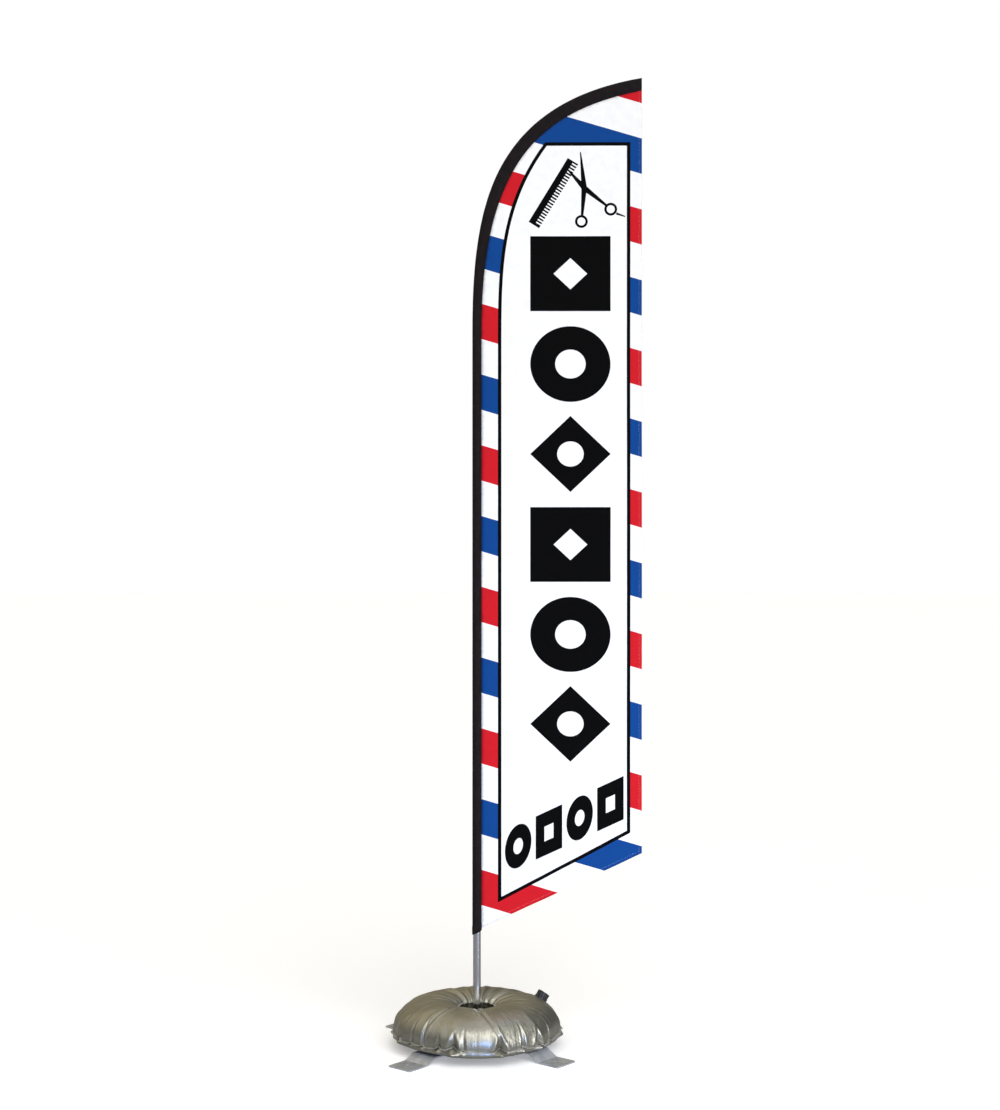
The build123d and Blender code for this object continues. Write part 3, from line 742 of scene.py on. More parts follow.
def cut_cloth(settings, shapes):
    """Flat triangles of the cloth, cut along every edge of the print. Returns points and faces."""
    step = settings.mesh_step
    seam, top, corner = panel_outline(step)
    outline = densify(seam + [top, corner], step, closed=True)
    lines = [(outline, True), (densify(frame_outline(0.0), step, True), True),
             (densify(frame_outline(FRAME_LINE), step, True), True)]
    for shape in shapes:
        lines += [(densify(edge, step, True), True) for edge in shape if edge]
    low, high = PANEL_BOX
    for k in range(int((STRIPE_START - high.z) / BAND) - 2, int((STRIPE_START - low.z) / BAND) + 2):
        level = STRIPE_START - k * STRIPE_PERIOD / 4
        ends = [(x, level - STRIPE_SLOPE * x) for x in (low.x - 0.003, high.x + 0.003)]
        lines.append((densify(ends, step), False))
    for depth in (settings.hem, settings.hem + 0.0012):
        edge = [(corner[0] - depth, top[1] + 0.01), (corner[0] - depth, corner[1] + depth * 0.6)]
        edge.append((low.x - 0.002, corner[1] + depth * 1.1 - (corner[0] - low.x + 0.002) * HEM_SLOPE))
        lines.append((densify(edge, step), False))
    points, edges = [], []
    for line, closed in lines:
        start = len(points)
        points += line
        edges += [(start + i, start + i + 1) for i in range(len(line) - 1)]
        if closed:
            edges.append((start + len(line) - 1, start))
    tree = nearest(points)
    rows = int((high.z - low.z) / step)
    columns = int((high.x - low.x) / step)
    spread = []
    for row in range(rows + 1):
        for column in range(columns + 1):
            x = low.x + (column + 0.5 * (row % 2)) * step
            z = low.z + row * step
            if tree.find((x, 0.0, z))[2] > step * 0.55:
                spread.append((x, z))
    spread = np.array(spread)
    spread = spread[inside(spread, outline)]
    points += [tuple(point) for point in spread]
    made, _, faces, _, _, _ = geometry.delaunay_2d_cdt([Vector(p) for p in points], edges, [], 0, 1e-6)
    made = np.array([tuple(p) for p in made])
    faces = np.array([tuple(face) for face in faces])
    middles = made[faces].mean(axis=1)
    return made, faces[inside(middles, outline)], corner


def seam_pinch(cosine):
    """How far the sleeve is drawn together, from 0 to 1 at the seam."""
    return settle((cosine - PINCH_FROM) / (1 - PINCH_FROM))


def drop_loose(points, faces):
    """Points that a face uses, and the faces renumbered."""
    used = np.unique(faces)
    renumber = np.full(len(points), -1)
    renumber[used] = np.arange(len(used))
    return points[used], renumber[faces]


# ------------------------------------------------------------------- operators

class FEATHERFLAG_OT_cloth(bpy.types.Operator):
    """Make the printed cloth with its hems"""
    bl_idname = "feather_flag.cloth"
    bl_label = "Printed cloth"

    def execute(self, context):
        settings = context.scene.feather_flag_cloth
        shapes = tool_shapes() + stacked_shapes() + slanted_shapes()
        points, faces, corner = cut_cloth(settings, shapes)
        points, faces = drop_loose(points, faces)
        ink = ink_at(points[faces].mean(axis=1), shapes)
        depth = cloth_depth(points, settings.wave)
        a, b, c = (points[faces[:, i]] for i in range(3))
        turn = (b[:, 0] - a[:, 0]) * (c[:, 1] - a[:, 1]) - (b[:, 1] - a[:, 1]) * (c[:, 0] - a[:, 0])
        faces[turn < 0] = faces[turn < 0][:, ::-1]
        inks = [printed_cloth("flag_" + name, tuple(getattr(settings, name))) for name in INKS]
        solid = np.stack((points[:, 0], depth, points[:, 1]), axis=1)
        cloth = add_mesh("flag_cloth", solid, [tuple(map(int, face)) for face in faces], inks)
        cloth.data.polygons.foreach_set("material_index", ink.astype(np.int32))
        hemmed = (points[:, 0] > corner[0] - settings.hem - 0.0004) | (
            points[:, 1] < corner[1] + settings.hem * 1.1 - (corner[0] - points[:, 0]) * HEM_SLOPE + 0.0004)
        group = cloth.vertex_groups.new(name="hem")
        for chosen, weight in ((hemmed, 1.0), (~hemmed, 0.5)):
            group.add([int(i) for i in np.nonzero(chosen)[0]], weight, "REPLACE")
        thick = cloth.modifiers.new("Thickness", "SOLIDIFY")
        thick.thickness = 2 * settings.thickness
        thick.offset = 0.0
        thick.vertex_group = "hem"
        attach(cloth, "pole_and_flag")
        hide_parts("flag_panel")
        return {"FINISHED"}


class FEATHERFLAG_OT_sleeve(bpy.types.Operator):
    """Make the fabric sleeve that the pole stands in"""
    bl_idname = "feather_flag.sleeve"
    bl_label = "Pole sleeve"

    def execute(self, context):
        settings = context.scene.feather_flag_sleeve
        around = 44
        straight_rows, bend_rows, bend_length = 250, 150, 0.93
        angles = np.arange(around) * 2 * math.pi / around
        cosine, sine = np.cos(angles), np.sin(angles)
        points, uvs = [], []
        for row in range(straight_rows + bend_rows + 1):
            if row < straight_rows:
                share, height = 0.0, (BEND_START - SLEEVE_BOTTOM) * row / straight_rows
            else:
                share = (row - straight_rows) / bend_rows
                height = BEND_START - SLEEVE_BOTTOM + bend_length * share
            centre, _, inward = bend_frame(share)
            half_width, half_thickness = sleeve_section(share)
            shut = float(settle((share - SLEEVE_SHUT_FROM) / (1 - SLEEVE_SHUT_FROM)))
            half_thickness = half_thickness * (1 - shut) + SLEEVE_END_HALF_THICKNESS * shut
            pinch = seam_pinch(cosine)
            across = half_width * cosine
            thick = half_thickness * sine * (1 - PINCHED * pinch)
            if row < straight_rows:
                slant = HEM_SLOPE * across * (1 - row / straight_rows)
                z = SLEEVE_BOTTOM + height + slant
                ring = np.stack((across, thick, z), axis=1)
            else:
                flat = centre[None, :] + inward[None, :] * across[:, None]
                ring = np.stack((flat[:, 0], thick, flat[:, 1]), axis=1)
            outward = np.stack((inward[0] * cosine, sine, inward[1] * cosine), axis=1)
            strain = 0.35 + 0.65 * float(settle(share * 5)) * (1 - shut)
            fineness = 16 + 26 * float(settle(share * 6))
            folds = []
            for i in range(around):
                place = Vector((angles[i] * 1.3, height * fineness, angles[i] * 0.4))
                longways = Vector((math.cos(angles[i]) * 2.2, math.sin(angles[i]) * 2.2, height * 3.0))
                folds.append(0.5 + 0.5 * (0.55 * noise.noise(place) + 0.45 * noise.noise(longways)))
            lift = settings.wrinkle * strain * np.array(folds) * (1 - 0.8 * pinch)
            hem = 0.0007 if row < 4 else 0.0
            ring = ring + outward * (lift + hem)[:, None]
            ring[:, 0] = np.minimum(ring[:, 0], TIP_REACH)
            points.append(ring)
            uvs += [(angles[i] * SLEEVE_RADIUS, height) for i in range(around)]
        rows = len(points)
        cloth = sleeve_cloth("sleeve_cloth_twill", tuple(settings.colour))
        faces = grid_faces(rows, around)
        sleeve = add_mesh("pole_sleeve_cloth", np.concatenate(points), faces, [cloth], uvs)
        thick = sleeve.modifiers.new("Wall", "SOLIDIFY")
        thick.thickness = settings.wall
        thick.offset = -1.0
        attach(sleeve, "pole_and_flag")
        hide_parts("pole_sleeve")
        return {"FINISHED"}


def ring_profile():
    """The ring's section from the hole's weld over the ridge to the rim and back underneath.

    Each row is (radius, height, zone, place): zone 0 runs from the hole to the ridge, 1 from the
    ridge to the rim, 2 from the rim to the foot, 3 along the foot, 4 up the wall of the hole.
    """
    drop = RING_TOP - HOLE_HEIGHT
    zones = (
        (((HOLE_RADIUS, HOLE_HEIGHT), (HOLE_RADIUS + 0.006, HOLE_HEIGHT + 0.6 * drop),
          (RIDGE_RADIUS - 0.030, RING_TOP), (RIDGE_RADIUS, RING_TOP)), 30),
        (((RIDGE_RADIUS, RING_TOP), (RIDGE_RADIUS + 0.55 * (RIM_RADIUS - RIDGE_RADIUS), RING_TOP),
          (RIM_RADIUS + 0.004, RIM_HEIGHT + 0.6 * (RING_TOP - RIM_HEIGHT)), (RIM_RADIUS, RIM_HEIGHT)), 54),
        (((RIM_RADIUS, RIM_HEIGHT), (RIM_RADIUS + 0.001, RING_BASE + 0.012),
          (FOOT_OUTER + 0.034, RING_BASE), (FOOT_OUTER, RING_BASE)), 24),
        (((FOOT_OUTER, RING_BASE), (0.17, RING_BASE), (0.12, RING_BASE), (FOOT_INNER, RING_BASE)), 10),
        (((FOOT_INNER, RING_BASE), (HOLE_RADIUS + 0.004, RING_BASE),
          (HOLE_RADIUS + 0.004, HOLE_HEIGHT * 0.7), (HOLE_RADIUS, HOLE_HEIGHT)), 20),
    )
    rows = []
    for zone, (controls, count) in enumerate(zones):
        for i in range(count):
            share = i / count
            radius, height = curve_of(controls, share)
            rows.append((radius, height, zone, share))
    return np.array(rows)


# Puckers round the rim: azimuth in degrees, depth, how far the crease climbs, half width at the rim
PUCKERS = (
    (205.0, 0.85, 0.62, 0.015), (218.0, 0.45, 0.80, 0.008), (229.0, 0.55, 1.00, 0.009),
    (243.0, 0.75, 0.42, 0.012), (254.6, 1.75, 0.50, 0.021), (261.5, 0.50, 0.72, 0.010),
    (286.8, 1.70, 0.46, 0.021), (304.0, 0.60, 0.85, 0.009), (317.6, 1.40, 0.50, 0.019),
    (331.0, 0.45, 0.65, 0.011), (356.0, 0.90, 0.60, 0.017), (9.0, 0.45, 0.80, 0.010),
    (27.0, 0.90, 0.50, 0.018), (44.0, 0.50, 0.70, 0.010), (60.0, 1.20, 0.55, 0.020),
    (77.0, 0.60, 0.90, 0.010), (92.0, 1.00, 0.50, 0.018), (109.0, 0.55, 0.70, 0.011),
    (124.0, 1.30, 0.55, 0.020), (138.0, 0.50, 0.85, 0.009), (152.0, 0.90, 0.50, 0.016),
    (165.0, 0.45, 0.60, 0.010), (178.0, 0.90, 0.55, 0.016), (190.0, 0.55, 0.75, 0.010),
)
CORNER_DEPTH = 0.80       # puckers this deep are also corners of the rim


def turn_from(azimuth, degrees):
    """Signed angle from a fixed azimuth, in radians."""
    return (azimuth - math.radians(degrees) + math.pi) % (2 * math.pi) - math.pi


def dart(azimuth, degrees, radius, width):
    """Straight-sided pinch: 1 on its middle line, 0 from its edges outwards, with soft corners."""
    away = np.abs(turn_from(azimuth, degrees)) * radius
    inner = np.clip(1 - away / width, 0, 1)
    return inner * (0.82 + 0.18 * inner)


def rim_draw(azimuth):
    """How strongly the rim is drawn in, from 0 between puckers to 1 at a deep one."""
    draw = np.zeros_like(azimuth)
    for degrees, depth, _, width in PUCKERS:
        draw = np.maximum(draw, depth * dart(azimuth, degrees, RIM_RADIUS, width))
    return draw


def rim_facets(azimuth):
    """How far a straight edge from corner to corner lies inside the round rim, as a share of its radius."""
    places = sorted(math.radians(degrees) for degrees, depth, _, _ in PUCKERS if depth >= CORNER_DEPTH)
    share = np.zeros_like(azimuth)
    for i, start in enumerate(places):
        end = places[(i + 1) % len(places)]
        half = ((end - start) % (2 * math.pi)) / 2
        off = (azimuth - start - half + math.pi) % (2 * math.pi) - math.pi
        here = np.abs(off) <= half
        share[here] = 1 - math.cos(half) / np.cos(off[here])
    return share


def rim_lift(azimuth):
    """Up-and-down play of the welded rim."""
    lift = 0.0022 * np.sin(3 * azimuth + 0.8) + 0.0016 * np.sin(7 * azimuth + 2.0)
    for index, (degrees, depth, _, _) in enumerate(PUCKERS):
        depth = min(depth, 1.0)
        away = turn_from(azimuth, degrees) * RIM_RADIUS
        side = 1 if index % 2 else -1
        lift += 0.0045 * depth * np.exp(-(away / 0.010) ** 2)
        lift += side * 0.0022 * depth * (away / 0.012) * np.exp(-(away / 0.016) ** 2)
    return lift


def hole_pleats(azimuth):
    """Gathers round the hole, deepest at the back."""
    behind = 0.10 + 0.90 * (0.5 + 0.5 * np.cos(azimuth - math.radians(84))) ** 2.2
    fine = 0.6 * np.cos(23 * azimuth + 1.2 * np.sin(4 * azimuth))
    return behind * (fine + 0.4 * np.cos(14 * azimuth + 0.7))


def hang_room(radius, azimuth, sag):
    """How far the ring may hang below its foot: between the bars, and clear of their slopes."""
    between_bars = 0.5 + 0.5 * np.cos(4 * (azimuth - math.radians(5.0)))
    return np.clip((radius - BARS_RAISED_TO) * BARS_FALL, 0.0, sag) * between_bars


def pucker_folds(azimuth, radius, along, depth):
    """Creases that run up from the rim's puckers; along is 0 on the ridge and 1 at the rim."""
    push = np.zeros(AROUND_RING)
    for degrees, strength, climb, rim_width in PUCKERS:
        apex = 1 - 0.75 * climb
        if along <= apex:
            continue
        grown = (along - apex) / (1 - apex)
        width = rim_width * (0.12 + 0.88 * grown)
        pinch = dart(azimuth, degrees, radius, width)
        away = np.abs(turn_from(azimuth, degrees)) * radius
        lip = np.exp(-((away - 1.25 * width) / (0.35 * width + 0.001)) ** 2)
        push += depth * strength * grown * (0.12 * lip - pinch)
    return push


def ring_surface(settings):
    """Points of the filled ring, row by row round its section."""
    profile = ring_profile()
    azimuth = np.arange(AROUND_RING) * 2 * math.pi / AROUND_RING
    draw, lift, pleats = rim_draw(azimuth), rim_lift(azimuth), hole_pleats(azimuth)
    facets = rim_facets(azimuth)
    count = len(profile)
    section = profile[:, :2]
    ahead = np.roll(section, -1, axis=0) - np.roll(section, 1, axis=0)
    outward = np.stack((-ahead[:, 1], ahead[:, 0]), axis=1)
    outward = outward / np.linalg.norm(outward, axis=1)[:, None]
    rings = []
    for i in range(count):
        radius, height, zone, place = profile[i]
        near_rim = {1: place, 2: (1 - place) ** 1.5}.get(zone, 0.0)
        near_hole = {0: 1 - place, 4: place ** 2}.get(zone, 0.0)
        r = np.full(AROUND_RING, radius)
        z = np.full(AROUND_RING, height)
        push = np.zeros(AROUND_RING)
        if zone == 2:
            z -= hang_room(r, azimuth, settings.sag) * math.sin(math.pi * place) ** 0.8
        r -= radius * facets * FACETING * near_rim
        if zone == 2:
            folded_out = np.sin(math.pi * place / 0.62) if place < 0.62 else 0.0
            drawn_in = 1 - place / 0.25 if place < 0.25 else 0.0
            r += settings.pucker * draw * (0.62 * folded_out - drawn_in)
        z += lift * near_rim**2.5
        if zone in (0, 1):
            along = place - 1 if zone == 0 else place
            push += pucker_folds(azimuth, radius, along, settings.pucker)
            push += crease_lines(azimuth, radius, settings.crease)
            swell = 0.6 * np.sin(5 * azimuth + 0.4 + 2 * along) + 0.4 * np.sin(8 * azimuth + 1.9 - 3 * along)
            push += settings.swell * swell * (1 - abs(along)) * 0.8
        if zone == 1:
            push += GATHERS * pleats * max(0.0, 1 - place / 0.45) ** 2
        if zone == 0:
            push += GATHERS * pleats * (0.35 + 0.65 * (1 - near_hole))
        push += GATHERS_AT_HOLE * pleats * near_hole**2
        r = r + outward[i, 0] * push
        z = z + outward[i, 1] * push
        z = np.maximum(z, RING_BASE - hang_room(r, azimuth, settings.sag))
        rings.append(np.stack((r * np.cos(azimuth), r * np.sin(azimuth), z), axis=1))
    points = np.concatenate(rings)
    fine = soft_noise(points, 28.0, 3.0) * 0.0007 + soft_noise(points, 11.0, 9.0) * 0.0012
    fine = np.where(np.repeat(profile[:, 2], AROUND_RING) < 3, fine, 0.0)
    outward_all = np.repeat(outward, AROUND_RING, axis=0)
    azimuth_all = np.tile(azimuth, count)
    points[:, 0] += outward_all[:, 0] * np.cos(azimuth_all) * fine
    points[:, 1] += outward_all[:, 0] * np.sin(azimuth_all) * fine
    points[:, 2] += outward_all[:, 1] * fine
    room = hang_room(np.hypot(points[:, 0], points[:, 1]), azimuth_all, settings.sag)
    points[:, 2] = np.maximum(points[:, 2], RING_BASE - room)
    return seat_for_valve(points), count


def crease_lines(azimuth, radius, depth):
    """Two long folds over the top, from the hole's left front and from its front, and four short ones."""
    out = (radius - HOLE_RADIUS) / (RIM_RADIUS - HOLE_RADIUS)
    push = np.zeros_like(azimuth)
    folds = (
        (238.0 - 9.0 * out**1.5, 0.9), (268.0 + 19.0 * out**1.3, 1.0), (326.0 + 12.0 * out, 0.45),
        (196.0 + 12.0 * out, 0.40), (75.0 - 9.0 * out, 0.6), (128.0 + 9.0 * out, 0.7))
    for degrees, strength in folds:
        away = turn_from(azimuth, degrees) * radius
        ridge = 0.55 * np.exp(-((away - 0.0085) / 0.0055) ** 2)
        ridge = ridge + 0.35 * np.exp(-((away + 0.010) / 0.008) ** 2)
        push += depth * strength * (ridge - 0.85 * np.exp(-np.abs(away / 0.0036) ** 1.3)) * 0.85
    return push


def valve_frame():
    """Centre of the valve's seat and the way its neck points, read from the valve itself."""
    mesh = frame["nodes"]["valve_body"].data
    points = np.array([tuple(v.co) for v in mesh.vertices])
    middle = points.mean(axis=0)
    _, vectors = np.linalg.eigh(np.cov((points - middle).T))
    spread = [np.ptp((points - middle) @ vectors[:, k]) for k in range(3)]
    axis = vectors[:, int(np.argmin(spread))]
    axis = axis if axis[2] > 0 else -axis
    reach = (points - middle) @ axis
    return middle + axis * reach.min(), axis


def seat_for_valve(points):
    """Presses the shoulder flat under the valve's flange."""
    seat, axis = valve_frame()
    off = points - seat
    height = off @ axis
    aside = np.linalg.norm(off - height[:, None] * axis, axis=1)
    near = 1 - settle((aside - 0.0230) / 0.020)
    shift = np.where(np.abs(height) < 0.03, (-0.0002 - height) * near, 0.0)
    return points + shift[:, None] * axis


def band_ring(name, centre_r, centre_z, half_width, droop, material):
    """Flat welded flange that follows the given radius and height round the ring."""
    azimuth = np.arange(AROUND_RING) * 2 * math.pi / AROUND_RING
    corners = ((-1.0, 1.0), (-0.5, 1.0), (0.0, 1.0), (0.5, 1.0), (0.93, 0.9), (1.0, 0.0),
               (0.93, -0.9), (0.5, -1.0), (0.0, -1.0), (-0.5, -1.0), (-1.0, -1.0), (-1.0, 0.0))
    rows = []
    for across, up in corners:
        r = centre_r + half_width * across
        z = centre_z + WELD_HALF_THICKNESS * up + droop * (across + 1) / 2
        rows.append(np.stack((r * np.cos(azimuth), r * np.sin(azimuth), z), axis=1))
    faces = grid_faces(len(corners), AROUND_RING, closed_rows=True, flip=True)
    return add_mesh(name, np.concatenate(rows), faces, [material])


class FEATHERFLAG_OT_water_ring(bpy.types.Operator):
    """Make the filled ring and its two welded edges"""
    bl_idname = "feather_flag.water_ring"
    bl_label = "Water ring"

    def execute(self, context):
        settings = context.scene.feather_flag_ring
        vinyl = silver_vinyl("ring_vinyl", tuple(settings.colour))
        weld = weld_vinyl("ring_weld", tuple(settings.weld_colour))
        points, rows = ring_surface(settings)
        faces = grid_faces(rows, AROUND_RING, closed_rows=True, flip=True)
        bag = add_mesh("water_ring_bag", points, faces, [vinyl])
        azimuth = np.arange(AROUND_RING) * 2 * math.pi / AROUND_RING
        draw, lift, pleats = rim_draw(azimuth), rim_lift(azimuth), hole_pleats(azimuth)
        rim_path = RIM_RADIUS * (1 - FACETING * rim_facets(azimuth)) - settings.pucker * draw
        rim = band_ring("ring_rim_flange", rim_path + 0.0036, RIM_HEIGHT + lift, RIM_HALF_WIDTH,
                        -0.0012 + 0.0030 * draw, weld)
        hole = band_ring("ring_hole_flange", HOLE_RADIUS - 0.0018, HOLE_HEIGHT + 0.0005 + 0.0018 * pleats,
                         HOLE_HALF_WIDTH, 0.0008 * pleats, weld)
        for piece, node in ((bag, "water_bag"), (rim, "bag_rim_weld"), (hole, "bag_hole_weld")):
            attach(piece, "water_ring")
            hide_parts(node)
        return {"FINISHED"}


def stitch_tree():
    """Geometry nodes that sew a row of stitches along a line."""
    tree = bpy.data.node_groups.new("Row of stitches", "GeometryNodeTree")
    sockets = tree.interface
    sockets.new_socket("Line", in_out="INPUT", socket_type="NodeSocketGeometry")
    for name, default in (("Pitch", 0.0036), ("Length", 0.0027), ("Width", 0.0005), ("Depth", 0.0013)):
        made = sockets.new_socket(name, in_out="INPUT", socket_type="NodeSocketFloat")
        made.default_value = default
    sockets.new_socket("Roundness", in_out="INPUT", socket_type="NodeSocketInt").default_value = 1
    sockets.new_socket("Thread", in_out="INPUT", socket_type="NodeSocketMaterial")
    sockets.new_socket("Stitches", in_out="OUTPUT", socket_type="NodeSocketGeometry")
    add = tree.nodes.new
    start, end = add("NodeGroupInput"), add("NodeGroupOutput")
    curve, resample = add("GeometryNodeMeshToCurve"), add("GeometryNodeResampleCurve")
    tangent, align = add("GeometryNodeInputTangent"), add("FunctionNodeAlignRotationToVector")
    stitch, size = add("GeometryNodeMeshIcoSphere"), add("ShaderNodeCombineXYZ")
    jitter, vary = add("FunctionNodeRandomValue"), add("ShaderNodeMath")
    instance, realize = add("GeometryNodeInstanceOnPoints"), add("GeometryNodeRealizeInstances")
    smooth, finish = add("GeometryNodeSetShadeSmooth"), add("GeometryNodeSetMaterial")
    resample.mode = "LENGTH"
    align.axis, align.pivot_axis = "X", "Y"
    jitter.data_type = "FLOAT"
    jitter.inputs[2].default_value = 0.88
    jitter.inputs[3].default_value = 1.08
    jitter.inputs["Seed"].default_value = 7
    stitch.inputs["Radius"].default_value = 0.5
    vary.operation = "MULTIPLY"
    for source, output, target, entry in (
            (start, "Line", curve, "Mesh"), (curve, "Curve", resample, "Curve"),
            (start, "Pitch", resample, "Length"), (tangent, "Tangent", align, "Vector"),
            (start, "Length", vary, 0), (jitter, 1, vary, 1), (vary, "Value", size, "X"),
            (start, "Depth", size, "Y"), (start, "Width", size, "Z"),
            (start, "Roundness", stitch, "Subdivisions"), (resample, "Curve", instance, "Points"),
            (stitch, "Mesh", instance, "Instance"), (align, "Rotation", instance, "Rotation"),
            (size, "Vector", instance, "Scale"), (instance, "Instances", realize, "Geometry"),
            (realize, "Geometry", smooth, "Geometry"), (smooth, "Geometry", finish, "Geometry"),
            (start, "Thread", finish, "Material"), (finish, "Geometry", end, "Stitches")):
        tree.links.new(source.outputs[output], target.inputs[entry])
    return tree


def sew(name, line, tree, settings, depth, material):
    """A plain mesh of stitches along one line of (x, y, z) points."""
    mesh = bpy.data.meshes.new(name + "_line")
    mesh.from_pydata(line, [(i, i + 1) for i in range(len(line) - 1)], [])
    carrier = bpy.data.objects.new(name + "_line", mesh)
    bpy.context.scene.collection.objects.link(carrier)
    row = carrier.modifiers.new("Stitches", "NODES")
    row.node_group = tree
    values = {"Pitch": settings.pitch, "Length": settings.length, "Width": settings.width, "Depth": depth,
              "Roundness": settings.sides, "Thread": material}
    for item in tree.interface.items_tree:
        if item.name in values:
            row[item.identifier] = values[item.name]
    carrier.update_tag()
    bpy.context.view_layer.update()
    evaluated = carrier.evaluated_get(bpy.context.evaluated_depsgraph_get())
    sewn = bpy.data.meshes.new_from_object(evaluated)
    sewn.name = name
    carrier.modifiers.remove(row)
    bpy.data.objects.remove(carrier)
    bpy.data.meshes.remove(mesh)
    if not sewn.polygons:
        raise RuntimeError(f"{name} came out with no stitches")
    piece = bpy.data.objects.new(name, sewn)
    bpy.context.scene.collection.objects.link(piece)
    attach(piece, "pole_and_flag")
    return piece


class FEATHERFLAG_OT_stitches(bpy.types.Operator):
    """Sew the seam and the hems"""
    bl_idname = "feather_flag.stitches"
    bl_label = "Stitches"

    def execute(self, context):
        settings = context.scene.feather_flag_stitches
        cloth = context.scene.feather_flag_cloth
        tree = stitch_tree()
        black = thread("black_thread", (0.012, 0.011, 0.012))
        white = thread("white_thread", (0.78, 0.78, 0.76))
        seam = [point for point in seam_line(inset=0.0022, step=0.006) if point[0] < TIP_REACH - 0.004]
        seam = [(x, float(y), z) for (x, z), y in zip(seam, cloth_depth(seam, cloth.wave))]
        piece = sew("seam_stitches", seam, tree, settings, cloth.thickness + 0.0007, black)
        _, top, corner = panel_outline(0.008)
        back = cloth.hem * 0.82
        low_x = SLEEVE_RADIUS + 0.002
        turn = (corner[0] - back, corner[1] + back * 0.7)
        side = densify([(turn[0], top[1] - 0.004), turn], 0.006)
        hem = densify([turn, (low_x, corner[1] + back * 1.1 - (corner[0] - low_x) * HEM_SLOPE)], 0.006)
        for name, line in (("free_edge_stitches", side), ("lower_hem_stitches", hem)):
            line = [(x, float(y), z) for (x, z), y in zip(line, cloth_depth(line, cloth.wave))]
            piece = sew(name, line, tree, settings, 2 * cloth.thickness + 0.0006, white)
        hem_line = []
        steps = 48
        for i in range(steps):
            angle = 2 * math.pi * i / steps
            radius = SLEEVE_RADIUS + 0.0011
            x = radius * math.cos(angle)
            y = radius * math.sin(angle) * (1 - PINCHED * float(seam_pinch(math.cos(angle))))
            hem_line.append((x, y, SLEEVE_BOTTOM + 0.017 + x * HEM_SLOPE))
        hem_line.append(hem_line[0])
        piece = sew("sleeve_hem_stitches", hem_line, tree, settings, settings.width, black)
        return {"FINISHED"}


def slot_finishes():
    """The finish of each material slot that CAD pieces use."""
    return {
        "galvanised_steel": galvanised("galvanised_strip", (0.56, 0.58, 0.60)),
        "zinc_steel": metal("zinc_plate", (0.66, 0.66, 0.63), 0.32, fineness=160.0),
        "black_steel": metal("black_oxide", (0.035, 0.034, 0.036), 0.42, fineness=120.0),
        "bearing_steel": metal("bearing_steel", (0.62, 0.62, 0.63), 0.16, lines=(1, 1, 6)),
        "bronze": metal("sintered_bronze", (0.55, 0.36, 0.17), 0.38, fineness=400.0),
        "nylon": moulded("nylon", (0.72, 0.70, 0.62), 0.45),
        "black_plastic": moulded("black_plastic", (0.012, 0.012, 0.013), 0.38),
        "rubber": moulded("rubber", (0.016, 0.016, 0.016), 0.72, grain=500.0),
        "pole_aluminium": metal("drawn_aluminium", (0.66, 0.67, 0.69), 0.16, lines=(1, 1, 0.02),
                                fineness=900.0),
        "glass_fibre": moulded("glass_fibre", (0.62, 0.60, 0.50), 0.30, grain=200.0, worn=1.1),
        "sleeve_cloth": webbing("sleeve_lining", (0.015, 0.014, 0.015)),
        "flag_cloth": webbing("cloth_lining", (0.8, 0.8, 0.8)),
        "pocket_webbing": webbing("pocket_webbing", (0.020, 0.020, 0.022)),
        "silver_vinyl": silver_vinyl("vinyl_under", (0.45, 0.45, 0.42)),
        "weld_vinyl": weld_vinyl("weld_under", (0.55, 0.55, 0.54)),
    }


class FEATHERFLAG_OT_hardware(bpy.types.Operator):
    """Give the base, the hub, the pole and the valve their finishes"""
    bl_idname = "feather_flag.hardware"
    bl_label = "Hardware finishes"

    def execute(self, context):
        finishes = slot_finishes()
        for subpart in frame["record"]["subparts"]:
            mesh = frame["nodes"][subpart["node"]].data
            mesh.materials.clear()
            mesh.materials.append(finishes[subpart["material_slot"]])
        return {"FINISHED"}


def place_in_scene(name, data, place, aim=None):
    """An object for a light or a camera, turned to look at a point."""
    holder = bpy.data.objects.new(name, data)
    holder.location = place
    if aim:
        holder.rotation_euler = (Vector(aim) - Vector(place)).to_track_quat("-Z", "Y").to_euler()
    bpy.context.scene.collection.objects.link(holder)
    return holder


def area_light(name, place, aim, size, power, colour):
    lamp = bpy.data.lights.new(name, "AREA")
    lamp.shape = "RECTANGLE"
    lamp.size, lamp.size_y = size
    lamp.energy = power
    lamp.color = colour
    place_in_scene(name, lamp, place, aim)


def studio_floor(settings):
    """White floor that is a little darker to mirrored rays, so that metal on it keeps its contrast."""
    paint = Finish("studio_floor")
    speck = paint.noise(6.0, 3.0, 0.5)
    paint.set(Roughness=0.85, Specular_IOR_Level=0.1, Emission_Color=(1, 1, 1, 1))
    mirrored = paint.node("LightPath").outputs["Is Glossy Ray"]
    glow = paint.remap(mirrored, 0.0, 1.0, settings.floor_glow, 0.0)
    paint.join(glow, paint.shader.inputs["Emission Strength"])
    white = paint.blend(speck, (0.93, 0.93, 0.93), (0.95, 0.95, 0.95))
    paint.finish(paint.blend(mirrored, white, (0.34, 0.34, 0.35)))
    reach, sides = 60.0, 96
    turns = [2 * math.pi * i / sides for i in range(sides)]
    rim = [(reach * math.cos(turn), reach * math.sin(turn), 0.0) for turn in turns]
    add_mesh("studio_floor", rim, [tuple(range(sides))], [paint.material])


